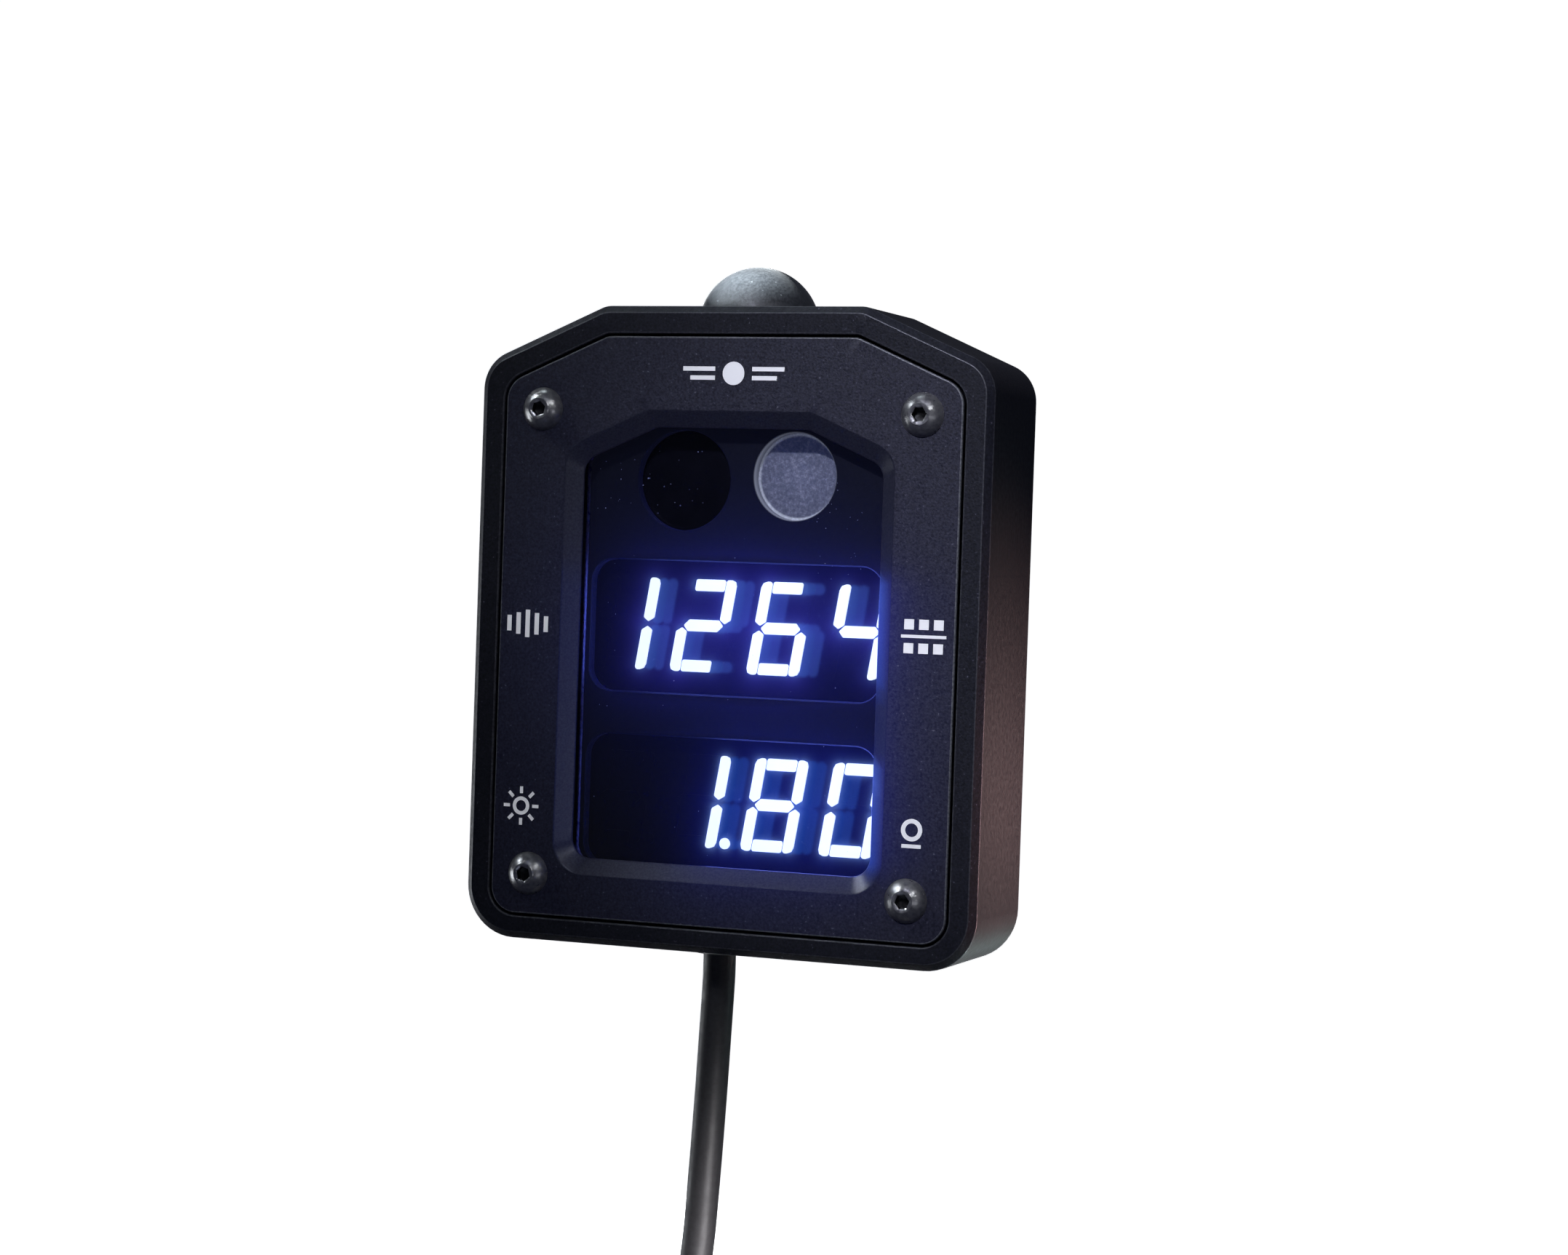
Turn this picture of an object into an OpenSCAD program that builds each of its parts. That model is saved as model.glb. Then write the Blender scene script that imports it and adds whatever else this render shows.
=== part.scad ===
// Fixed-mount dual-readout light meter.
// Frame: X to the right, Y away from the viewer (the face looks along -Y), Z up.
// The origin is the middle of the rear mounting hole pattern, on the rear face.

/* [Housing] */
// Width of the housing
body_w = 83; // [80:0.5:90]
// Height of the housing
body_h = 97.3; // [96:0.1:104]
// Depth of the housing, rear face to front face
body_d = 22; // [22:0.5:30]
// Half width of the flat part of the top edge
top_flat = 21.1; // [18:0.1:24]
// Drop of the sloped top corners
slope_drop = 8.9; // [7:0.1:10]
// Front and rear edge chamfer
edge_chamfer = 1.05; // [0.5:0.05:1.5]
// Radius of the two bottom corners
corner_r = 8; // [5:0.5:9]

/* [Bezel] */
// Thickness of the bezel plate
bezel_t = 3.2; // [3:0.1:3.4]
// Half width of the bezel plate
bezel_side = 37; // [36.5:0.1:37.2]
// Gap around the bezel plate
bezel_gap = 0.4; // [0.3:0.05:0.6]
// Bezel screw spacing across
screw_dx = 61.5; // [61:0.1:62]
// Bezel screw spacing up and down
screw_dz = 71.2; // [70.5:0.1:72]
// Height of the middle of the bezel screw pattern
screw_z = -2.85; // [-3.5:0.05:-2.5]

/* [Window] */
// Half width of the window opening at the pane
win_side = 24.3; // [22:0.1:25]
// Top of the window opening at the pane
win_top = 30.35; // [29:0.05:31]
// Bottom of the window opening at the pane
win_bot = -35.65; // [-36:0.05:-34]
// Pane thickness
pane_t = 2.4; // [2:0.1:2.4]

/* [Sensors] */
// Radius of the dark filter aperture
uv_r = 7.6; // [6.5:0.1:7.7]
// Radius of the frosted diffuser aperture
vis_r = 6.6; // [5.5:0.1:7]

/* [Readouts] */
// Digit height
digit_h = 14.2; // [12.7:0.1:14.4]
// Distance between digits
digit_pitch = 12.7; // [12.4:0.1:12.8]
// Height of the middle of the upper readout
upper_z = 0.45; // [0:0.05:0.6]
// Height of the middle of the lower readout
lower_z = -26.35; // [-26.5:0.05:-26]

/* [Push button] */
// Sphere radius of the dome
dome_r = 9.3; // [8.8:0.1:9.4]
// How far the dome stands above the top face
dome_h = 6.7; // [6:0.1:7]
// Button travel
button_travel = 1.2; // [0.8:0.1:1.2]

/* [Rear mount] */
// Mount hole spacing across
mount_dx = 30; // [26:1:32]
// Mount hole spacing up and down
mount_dz = 38; // [34:1:40]
// Mount hole radius (M3 tapping size)
mount_r = 1.25; // [1.2:0.05:1.3]

/* [Cord] */
// Cord diameter
cord_d = 5; // [4.5:0.1:5]
// Mean radius of the stored coil
coil_r = 27; // [26:0.5:28]

/* [Hidden] */

$fn = 64;
e = 0.01;
// direction of the sloped corners, as a unit normal, and the line constant of the outer slope
sl_len = sqrt(pow(body_w/2 - top_flat, 2) + pow(slope_drop, 2));
snx = slope_drop/sl_len;
snz = (body_w/2 - top_flat)/sl_len;
slc = snx*top_flat + snz*body_h/2;

sx = screw_dx/2;
sz0 = screw_z + screw_dz/2;
sz1 = screw_z - screw_dz/2;
SCREWS = [[-sx, sz0], [sx, sz0], [-sx, sz1], [sx, sz1]];
STANDOFFS = [[-29.2, 15], [29.2, 15], [-29.2, -20], [29.2, -20]];
UV = [-9.0, 22.5];
VIS = [9.1, 23.45];

// depth stations, measured from the front face
s_pane = 2.0;
s_pane_b = s_pane + pane_t;      // 4.4
s_mask = s_pane_b + 0.5;         // 4.9
s_mask_b = s_mask + 1.6;         // 6.5
s_lens = 8.2;
s_disp_b = 16.2;
s_board_b = 17.8;
s_rear = body_d - 2;             // inner face of the rear cover
s_mid = body_d/2;
button_s = s_mid;

// ---------- outline helpers (x, z) ----------
function unit(v) = v/norm(v);
function arc_corner(a, b, c, r, n) =
  let(u = unit(a - b), v = unit(c - b), ang = acos(u*v), t = r/tan(ang/2),
      p0 = b + u*t, p1 = b + v*t, cen = b + unit(u + v)*(r/sin(ang/2)),
      a0 = atan2(p0[1] - cen[1], p0[0] - cen[0]), a1 = atan2(p1[1] - cen[1], p1[0] - cen[0]),
      d = ((a1 - a0 + 540) % 360) - 180)
  [for (i = [0:n]) cen + r*[cos(a0 + d*i/n), sin(a0 + d*i/n)]];
function rpoly(P, R, n = 6) =
  [for (i = [0:len(P) - 1]) each arc_corner(P[(i + len(P) - 1) % len(P)], P[i], P[(i + 1) % len(P)], R[i], n)];
// house-shaped outline: side = half width, sl = how far inside the outer slope line
function house(side, top, bot, sl, rt, rs, rb, n = 6) =
  let(flat = (slc - sl - snz*top)/snx, zs = (slc - sl - snx*side)/snz)
  rpoly([[-flat, top], [-side, zs], [-side, bot], [side, bot], [side, zs], [flat, top]],
        [rt, rs, rb, rb, rs, rt], n);
function body_out(d) = house(body_w/2 - d, body_h/2 - d, -body_h/2 + d, d, 4, 6 - d, corner_r - d, 7);
function plate_out(g) = house(bezel_side + g, 44 + g, -44.7 - g, 4.59 - g, 3, 4 + g, 4 + g, 6);
function rrect(x0, z0, x1, z1, r, n = 5) = rpoly([[x0, z1], [x0, z0], [x1, z0], [x1, z1]], [r, r, r, r], n);

module slab(pts, s0, s1) translate([0, -body_d + s1, 0]) rotate([90, 0, 0]) linear_extrude(s1 - s0) polygon(pts);
module ycyl(x, z, r, s0, s1) translate([x, -body_d + s0, z]) rotate([-90, 0, 0]) cylinder(r = r, h = s1 - s0);
module ycone(x, z, ra, rb, s0, s1) translate([x, -body_d + s0, z]) rotate([-90, 0, 0]) cylinder(r1 = ra, r2 = rb, h = s1 - s0);
module ybox(x0, x1, s0, s1, z0, z1) translate([x0, -body_d + s0, z0]) cube([x1 - x0, s1 - s0, z1 - z0]);

// ---------- swept round tube along a smooth route ----------
function cr(p0, p1, p2, p3, t) = 0.5*((2*p1) + (p2 - p0)*t + (2*p0 - 5*p1 + 4*p2 - p3)*t*t + (3*p1 - p0 - 3*p2 + p3)*t*t*t);
function smooth_route(P, k) = let(n = len(P))
  [for (i = [0:n - 2]) for (j = [0:k - 1])
    cr(P[max(i - 1, 0)], P[i], P[i + 1], P[min(i + 2, n - 1)], j/k), P[n - 1]];
function tang(Q, i) = unit(Q[min(i + 1, len(Q) - 1)] - Q[max(i - 1, 0)]);
module tube(Q, r, n, ref = [0, 1, 0]) {
  m = len(Q);
  pts = [for (i = [0:m - 1]) let(t = i == 0 ? unit(Q[1] - Q[0]) : i == m - 1 ? unit(Q[m - 1] - Q[m - 2]) : tang(Q, i),
           s = unit(cross(t, ref)), u = cross(s, t))
         for (j = [0:n - 1]) Q[i] + r*(cos(360*j/n)*s + sin(360*j/n)*u)];
  sides = [for (i = [0:m - 2]) for (j = [0:n - 1])
             [i*n + j, (i + 1)*n + j, (i + 1)*n + (j + 1) % n, i*n + (j + 1) % n]];
  polyhedron(points = pts, faces = concat(sides, [[for (j = [0:n - 1]) j]],
             [[for (j = [n - 1:-1:0]) (m - 1)*n + j]]), convexity = 6);
}

// ---------- housing ----------
module bosses(s0, s1) for (p = SCREWS) ycyl(p[0], p[1], 4, s0, s1);
module housing() color([0.07, 0.07, 0.08]) difference() {
  union() {
    difference() {
      hull() {
        slab(body_out(0), edge_chamfer, body_d - edge_chamfer);
        slab(body_out(edge_chamfer), 0, body_d);
      }
      slab(plate_out(bezel_gap), -1, 3.5);
      slab(house(35.5, 42.4, -43.2, 6.2, 2, 3, 3, 4), 3, s_mask_b);
      slab(house(33.5, 42.4, -43.2, 6.2, 2, 3, 3, 4), s_mask_b - 0.5, 19.8);
      slab(house(37.5, 44.6, -44.6, 4.0, 2, 4, 4, 5), body_d - 2.3, body_d + 1);
    }
    bosses(bezel_t, s_rear);
  }
  for (p = SCREWS) {
    ycyl(p[0], p[1], 1.75, bezel_t - 1, 12);
    ycyl(p[0], p[1], 1.45, 14, s_rear + 1);
  }
  // round recess for the push button and the hole for its bushing
  translate([0, -body_d + button_s, body_h/2 - 3]) cylinder(r = 9.2, h = 4);
  translate([0, -body_d + button_s, 41]) cylinder(r = 4.1, h = 8);
  // cord hole in the bottom wall
  translate([-3, -body_d + s_mid, -body_h/2 - 1]) cylinder(r = 4, h = 8);
}

// ---------- bezel plate and window ----------
module bezel_plate() color([0.08, 0.08, 0.10]) difference() {
  slab(plate_out(0), 0, bezel_t);
  hull() {
    slab(house(win_side + 3.2, win_top + 2.45, win_bot - 2.4, 17.64, 3, 4.6, 5, 6), -e, 0);
    slab(house(win_side, win_top, win_bot, 20.3, 3, 3, 3, 6), 1.8, 1.8 + e);
  }
  slab(house(win_side, win_top, win_bot, 20.3, 3, 3, 3, 6), 1.7, bezel_t + 1);
  slab(house(27.1, 33.9, -39.2, 16.6, 3, 3, 3, 5), s_pane, bezel_t + 1);
  for (p = SCREWS) ycyl(p[0], p[1], 1.95, -1, bezel_t + 1);
}
module bezel_screws() color([0.72, 0.72, 0.70]) for (p = SCREWS) difference() {
  union() {
    intersection() {
      translate([p[0], -body_d + 1.464, p[1]]) sphere(r = 3.637);
      ycyl(p[0], p[1], 3.4, -1.85, 0);
    }
    ycyl(p[0], p[1], 1.70, -0.1, 10);
  }
  translate([p[0], -body_d - 3, p[1]]) rotate([-90, 0, 0]) cylinder(r = 1.155, h = 2.35, $fn = 6);
}
module bezel_gasket() color([0.12, 0.12, 0.12]) difference() {
  slab(plate_out(0.2), bezel_t, bezel_t + 0.3);
  slab(house(35.7, 42.6, -43.4, 6.0, 2, 3, 3, 4), bezel_t - 1, bezel_t + 1);
  for (p = SCREWS) ycyl(p[0], p[1], 4.3, bezel_t - 1, bezel_t + 1);
}
module window_pane() color([0.55, 0.62, 0.75, 0.35]) slab(house(26.9, 33.7, -39.0, 16.8, 3, 3, 3, 5), s_pane, s_pane_b);
module window_gasket() color([0.1, 0.1, 0.1]) difference() {
  slab(house(26.9, 33.7, -39.0, 16.8, 3, 3, 3, 5), s_pane_b, s_mask);
  slab(house(24.6, 31.4, -36.7, 19.2, 2.5, 3, 3, 5), s_pane_b - 1, s_mask + 1);
}

// ---------- inner mask, apertures, sensors ----------
module mask_panel() color([0.04, 0.04, 0.06]) difference() {
  slab(house(35.2, 42.1, -42.9, 6.5, 2, 3, 3, 4), s_mask, s_mask_b);
  for (p = SCREWS) ycyl(p[0], p[1], 4.4, s_mask - 1, s_mask_b + 1);
  ycyl(UV[0], UV[1], uv_r, s_mask - 1, s_mask_b + 1);
  ycyl(VIS[0], VIS[1], vis_r, s_mask - 1, s_mask_b + 1);
  slab(rrect(-23.75, -9.95, 23.75, 10.2, 3.5), s_mask - 1, s_mask_b + 1);
  slab(rrect(-23.75, -36.75, 23.75, -16.6, 3.5), s_mask - 1, s_mask_b + 1);
  for (p = STANDOFFS) { ycyl(p[0], p[1], 1.15, s_mask - 1, s_mask_b + 1); ycone(p[0], p[1], 2.3, 1.15, s_mask - e, s_mask + 1.15); }
}
module mask_screws() color([0.75, 0.75, 0.72]) for (p = STANDOFFS) difference() {
  union() { ycone(p[0], p[1], 2.2, 1.05, s_mask, s_mask + 1.1); ycyl(p[0], p[1], 1.0, s_mask + 1, 10.5); }
  ybox(p[0] - 1.3, p[0] + 1.3, s_mask - 1, s_mask + 0.5, p[1] - 0.25, p[1] + 0.25);
  ybox(p[0] - 0.25, p[0] + 0.25, s_mask - 1, s_mask + 0.5, p[1] - 1.3, p[1] + 1.3);
}
module uv_filter() color([0.05, 0.04, 0.10]) ycyl(UV[0], UV[1], uv_r + 0.3, s_mask_b, s_mask_b + 2);
module vis_diffuser() color([0.85, 0.86, 0.9]) ycyl(VIS[0], VIS[1], vis_r + 0.3, s_mask_b, s_mask_b + 2);
module sensor_holder() color([0.15, 0.15, 0.16]) difference() {
  slab(rrect(-18.6, 13.4, 17.6, 31.6, 2), s_mask_b, 13.3);
  ycyl(UV[0], UV[1], uv_r + 0.35, s_mask_b - 1, s_mask_b + 2);
  ycyl(VIS[0], VIS[1], vis_r + 0.35, s_mask_b - 1, s_mask_b + 2);
  ycyl(UV[0], UV[1], 4.8, s_mask_b, 14);
  ycyl(VIS[0], VIS[1], 4.8, s_mask_b, 14);
  ycyl(0.6, 15.2, 0.85, 9, 14);
  ycyl(0.6, 29.8, 0.85, 9, 14);
}
module photodiode(p) {
  difference() {
    union() { ycyl(p[0], p[1], 4.1, 9.3, 12.5); ycyl(p[0], p[1], 4.55, 12.4, 13.3); }
    ycyl(p[0], p[1], 2.9, 9, 9.6);
  }
  for (d = [-1.27, 1.27]) ycyl(p[0] + d, p[1], 0.23, 13.2, 15.1);
}
module uv_photodiode() color([0.8, 0.7, 0.4]) photodiode(UV);
module vis_photodiode() color([0.8, 0.7, 0.4]) photodiode(VIS);
module sensor_board() color([0.05, 0.30, 0.18]) difference() {
  slab(rrect(-18.6, 13.4, 17.6, 31.6, 1), 13.3, 14.5);
  for (p = [UV, VIS]) for (d = [-1.27, 1.27]) ycyl(p[0] + d, p[1], 0.3, 13, 15);
  for (z = [15.2, 29.8]) ycyl(0.6, z, 1.0, 13, 15);
}
module sensor_screws() color([0.75, 0.75, 0.72]) for (z = [15.2, 29.8]) difference() {
  union() { ycyl(0.6, z, 1.8, 14.5, 15.6); ycyl(0.6, z, 0.8, 9.5, 14.6); }
  ybox(0.6 - 1.2, 0.6 + 1.2, 15.1, 17, z - 0.2, z + 0.2);
}
module sensor_header() color([0.1, 0.1, 0.1]) { ybox(-16.5, -6.5, 14.5, 16.2, 14.0, 16.5); }

// ---------- LED readouts ----------
seg_w = 1.7;      // stroke
seg_x = 3.45;     // stroke centre line to digit middle
slant = 0.16;
function sl(P) = [for (p = P) [p[0] + slant*p[1], p[1]]];
hh = digit_h/2;
cw = seg_w/2;
g0 = 0.19;
// upright strokes, outer end rounded on the outside, inner end pointed
function up_stroke(sx1, sz1) = [for (p = [[-cw, 0.95], [0, g0 + 0.18], [cw, 0.95], [cw, hh - 0.9], [cw - 0.25, hh - 0.25],
    [cw - 0.9, hh], [-cw, hh]]) [sx1*(seg_x + p[0]), sz1*p[1]]];
function bar_stroke(z, d) = [[-seg_x + cw + g0, z], [seg_x - cw - g0, z], [seg_x - cw - g0, z - d*1.8], [-seg_x + cw + g0, z - d*1.8]];
function mid_stroke() = [[-seg_x + 0.22, 0], [-seg_x + 1.05, 0.9], [seg_x - 1.05, 0.9], [seg_x - 0.22, 0], [seg_x - 1.05, -0.9], [-seg_x + 1.05, -0.9]];
function seg(k) = k == 0 ? sl(bar_stroke(hh, 1)) : k == 1 ? sl(up_stroke(1, 1)) : k == 2 ? sl(up_stroke(1, -1)) :
  k == 3 ? sl(bar_stroke(-hh, -1)) : k == 4 ? sl(up_stroke(-1, -1)) : k == 5 ? sl(up_stroke(-1, 1)) : sl(mid_stroke());
// lit strokes of each digit, in the order a b c d e f g
UP = [[1, 2], [0, 1, 3, 4, 6], [0, 2, 3, 4, 5, 6], [1, 2, 5, 6]];
LOW = [[], [1, 2], [0, 1, 2, 3, 4, 5, 6], [0, 1, 2, 3, 4, 5]];
function has(L, k) = len([for (q = L) if (q == k) 1]) > 0;
module stroke(k, d, z) translate([(d - 1.5)*digit_pitch, -body_d + s_lens, z]) rotate([90, 0, 0]) linear_extrude(0.3) polygon(seg(k));
module dot(d, z) ycyl((d - 1.5)*digit_pitch + 4.75, z - 6.25, 0.85, s_lens - 0.3, s_lens);
module upper_lit_segments() color([0.85, 0.92, 1.0]) for (d = [0:3]) for (k = UP[d]) stroke(k, d, upper_z);
module lower_lit_segments() color([0.85, 0.92, 1.0]) { for (d = [0:3]) for (k = LOW[d]) stroke(k, d, lower_z); dot(1, lower_z); }
module unlit_segments() color([0.12, 0.13, 0.2]) for (d = [0:3]) {
  for (k = [0:6]) { if (!has(UP[d], k)) stroke(k, d, upper_z); if (!has(LOW[d], k)) stroke(k, d, lower_z); }
  dot(d, upper_z);
  if (d != 1) dot(d, lower_z);
}
module display_case(z) difference() {
  ybox(-25.15, 25.15, s_lens, s_disp_b, z - 10.6, z + 10.0);
  ybox(-23.6, 23.6, 13, s_disp_b + 1, z - 6, z + 6);
}
module upper_display_case() color([0.03, 0.03, 0.05]) display_case(upper_z);
module lower_display_case() color([0.03, 0.03, 0.05]) display_case(lower_z);
module display_pins() color([0.8, 0.8, 0.78]) for (z = [upper_z, lower_z]) for (i = [0:5]) for (k = [-1, 1])
  ybox((i - 2.5)*2.54 - 0.22, (i - 2.5)*2.54 + 0.22, s_disp_b, s_board_b + 0.6, z + k*7.62 - 0.22, z + k*7.62 + 0.22);

// ---------- main board ----------
module main_board() color([0.05, 0.32, 0.18]) difference() {
  slab(house(33, 40, -41.5, 8.2, 1, 2, 2, 3), s_disp_b, s_board_b);
  for (p = SCREWS) ycyl(p[0], p[1], 4.6, s_disp_b - 1, s_board_b + 1);
  for (p = STANDOFFS) ycyl(p[0], p[1], 1.15, s_disp_b - 1, s_board_b + 1);
  for (z = [upper_z, lower_z]) for (i = [0:5]) for (k = [-1, 1]) ycyl((i - 2.5)*2.54, z + k*7.62, 0.42, s_disp_b - 1, s_board_b + 1);
  for (x = [-2.5, 2.5]) ycyl(x, 37, 0.45, s_disp_b - 1, s_board_b + 1);
}
module gull(x, z, w, h, t, n, pitch) {
  ybox(x - w/2, x + w/2, s_board_b + 0.1, s_board_b + t, z - h/2, z + h/2);
  for (i = [0:n - 1]) for (k = [-1, 1])
    ybox(x + (i - (n - 1)/2)*pitch - 0.2, x + (i - (n - 1)/2)*pitch + 0.2, s_board_b, s_board_b + 0.35,
         k > 0 ? z + h/2 - 0.2 : z - h/2 - 1, k > 0 ? z + h/2 + 1 : z - h/2 + 0.2);
}
module microcontroller() color([0.06, 0.06, 0.06]) gull(0, 0, 9, 9, 1.4, 8, 0.8);
module display_drivers() color([0.06, 0.06, 0.06]) { gull(-21, -2, 9, 4, 1.45, 7, 1.27); gull(21, -2, 9, 4, 1.45, 7, 1.27); }
module voltage_regulator() color([0.06, 0.06, 0.06]) {
  ybox(9, 15.5, s_board_b + 0.1, s_board_b + 1.6, -36, -32.5);
  ybox(10.7, 13.8, s_board_b, s_board_b + 0.3, -32.7, -31);
  for (i = [-1, 0, 1]) ybox(12.25 + i*2.3 - 0.35, 12.25 + i*2.3 + 0.35, s_board_b, s_board_b + 0.3, -37.5, -35.8);
}
module capacitors() color([0.62, 0.5, 0.32]) {
  for (p = [[-8.5, -33], [-12, -33], [18.5, -34], [-9.5, 9], [9.5, 9], [0, -9], [-23, 6], [23, 6]])
    ybox(p[0] - 0.8, p[0] + 0.8, s_board_b, s_board_b + 1.1, p[1] - 1.25, p[1] + 1.25);
}
module board_standoffs() color([0.78, 0.66, 0.35]) for (p = STANDOFFS) difference() {
  translate([p[0], -body_d + s_mask_b, p[1]]) rotate([-90, 0, 0]) cylinder(r = 2.6, h = s_disp_b - s_mask_b, $fn = 6);
  ycyl(p[0], p[1], 1.05, s_mask_b - 1, s_disp_b + 1);
}
module board_screws() color([0.75, 0.75, 0.72]) for (p = STANDOFFS) difference() {
  union() { ycyl(p[0], p[1], 2.1, s_board_b, s_board_b + 1.3); ycyl(p[0], p[1], 1.0, 13, s_board_b + 0.1); }
  ybox(p[0] - 1.4, p[0] + 1.4, s_board_b + 0.7, s_board_b + 3, p[1] - 0.25, p[1] + 0.25);
}
module power_connector() color([0.88, 0.86, 0.78]) difference() {
  ybox(8, 15.5, 10.7, s_disp_b, -41.4, -37.1);
  ybox(8.8, 14.7, 10, 15, -40.7, -37.8);
}

// ---------- cord entry ----------
lead_a = [[-4, -11.6, -39.3], [-4, -11.6, -38.9], [-3.2, -12, -38.2], [0, -12.6, -37.9], [5, -13, -38.0], [9, -13, -38.4],
  [10.7, -12.4, -38.5], [10.9, -10.6, -38.5], [10.9, -7.8, -38.5]];
lead_b = [[-2, -10.4, -39.3], [-2, -10.4, -38.9], [-1.2, -11, -38.8], [1.5, -12, -39.6], [6, -13.2, -40], [10.6, -13.6, -39.8],
  [13, -12.8, -39.4], [13.4, -10.8, -39.2], [13.4, -7.8, -39.2]];
module internal_leads() color([0.6, 0.08, 0.06]) { tube(smooth_route(lead_a, 4), 0.5, 8, [0, 0, 1]); tube(smooth_route(lead_b, 4), 0.5, 8, [0.3, 0.2, 1]); }
module zcyl(x, s, r, z0, z1) translate([x, -body_d + s, z0]) cylinder(r = r, h = z1 - z0);
module cord_bushing() color([0.06, 0.06, 0.06]) difference() {
  union() {
    zcyl(-3, s_mid, 3.95, -body_h/2, -43.2);
    zcyl(-3, s_mid, 4.45, -43.2, -42.2);
    translate([-3, -body_d + s_mid, -body_h/2 - 0.9]) cylinder(r1 = 4.2, r2 = 4.9, h = 0.9);
  }
  zcyl(-3, s_mid, cord_d/2 + 0.02, -60, -30);
}
module cord_clamp() color([0.7, 0.7, 0.68]) difference() {
  zcyl(-3, s_mid, 3.5, -42.2, -40.2);
  zcyl(-3, s_mid, cord_d/2 + 0.02, -60, -30);
}
module cord_entry() color([0.1, 0.1, 0.1]) zcyl(-3, s_mid, cord_d/2, -body_h/2 - 0.95, -39.4);

// ---------- push button ----------
dome_c = body_h/2 + dome_h - dome_r;   // height of the dome's sphere centre
cap_z0 = body_h/2 - 1.2;
module button_cap() color([0.09, 0.09, 0.1]) difference() {
  union() {
    intersection() {
      translate([0, -body_d + button_s, dome_c]) sphere(r = dome_r);
      translate([0, -body_d + button_s, body_h/2]) cylinder(r = 12, h = 12);
    }
    translate([0, -body_d + button_s, cap_z0]) cylinder(r = 8.9, h = 1.2 + e);
  }
  translate([0, -body_d + button_s, cap_z0 - 1]) cylinder(r = 7.3, h = 51 - cap_z0 + 1);
}
module button_plunger() color([0.82, 0.82, 0.8]) {
  zcyl(0, button_s, 2.55, 38, 49.6);
  zcyl(0, button_s, 5.4, 49.5, 51);
}
module switch_body() color([0.08, 0.08, 0.08]) difference() {
  ybox(-6, 6, 6.7, 15.5, 33.6, 42.1);
  zcyl(0, button_s, 2.6, 36.2, 43);
}
module switch_bushing() color([0.75, 0.74, 0.7]) difference() {
  union() { zcyl(0, button_s, 4.05, 42.1, 47.7); zcyl(0, button_s, 5, 42.1, 42.4); }
  zcyl(0, button_s, 2.6, 40, 50);
}
module switch_nut() color([0.78, 0.77, 0.72]) difference() {
  translate([0, -body_d + button_s, body_h/2 - 3]) cylinder(r = 5.8, h = 1.3, $fn = 6);
  zcyl(0, button_s, 4.1, 40, 50);
}
module switch_pins() color([0.8, 0.8, 0.78]) for (x = [-2.5, 2.5]) ybox(x - 0.3, x + 0.3, 15.5, s_board_b + 0.8, 36.7, 37.3);
spring_pts = [for (i = [0:48]) let(a = i*22.5) [4.75*cos(a), -body_d + button_s + 4.75*sin(a), body_h/2 - 1.7 + 0.2 + 1.88*i/48]];
module return_spring() color([0.8, 0.8, 0.8]) tube(spring_pts, 0.17, 6, [0, 0, 1]);

// ---------- rear ----------
module rear_gasket() color([0.1, 0.1, 0.1]) difference() {
  slab(house(37.2, 44.3, -44.3, 4.3, 2, 4, 4, 5), body_d - 2.3, s_rear);
  slab(house(34.2, 42.8, -43.5, 5.8, 2, 3, 3, 5), body_d - 3, s_rear + 1);
  for (p = SCREWS) ycyl(p[0], p[1], 4.3, body_d - 4, body_d);
}
module rear_cover() color([0.08, 0.08, 0.09]) difference() {
  union() {
    slab(house(37.3, 44.4, -44.4, 4.2, 2, 4, 4, 6), s_rear, body_d);
    for (x = [-1, 1]) for (z = [-1, 1]) ycyl(x*mount_dx/2, z*mount_dz/2, 3.2, s_rear - 1.8, s_rear + 0.5);
  }
  for (x = [-1, 1]) for (z = [-1, 1]) ycyl(x*mount_dx/2, z*mount_dz/2, mount_r, s_rear - 3, body_d + 1);
  for (p = SCREWS) { ycyl(p[0], p[1], 1.6, s_rear - 1, body_d + 1); ycone(p[0], p[1], 1.6, 3.0, s_rear + 0.55, body_d + e); }
}
module rear_cover_screws() color([0.2, 0.2, 0.2]) for (p = SCREWS) difference() {
  union() { ycone(p[0], p[1], 1.4, 2.85, s_rear + 0.5, body_d - 0.05); ycyl(p[0], p[1], 1.4, 14.6, s_rear + 0.6); }
  translate([p[0], -body_d + body_d - 1.2, p[1]]) rotate([-90, 0, 0]) cylinder(r = 1.155, h = 3, $fn = 6);
}

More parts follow.
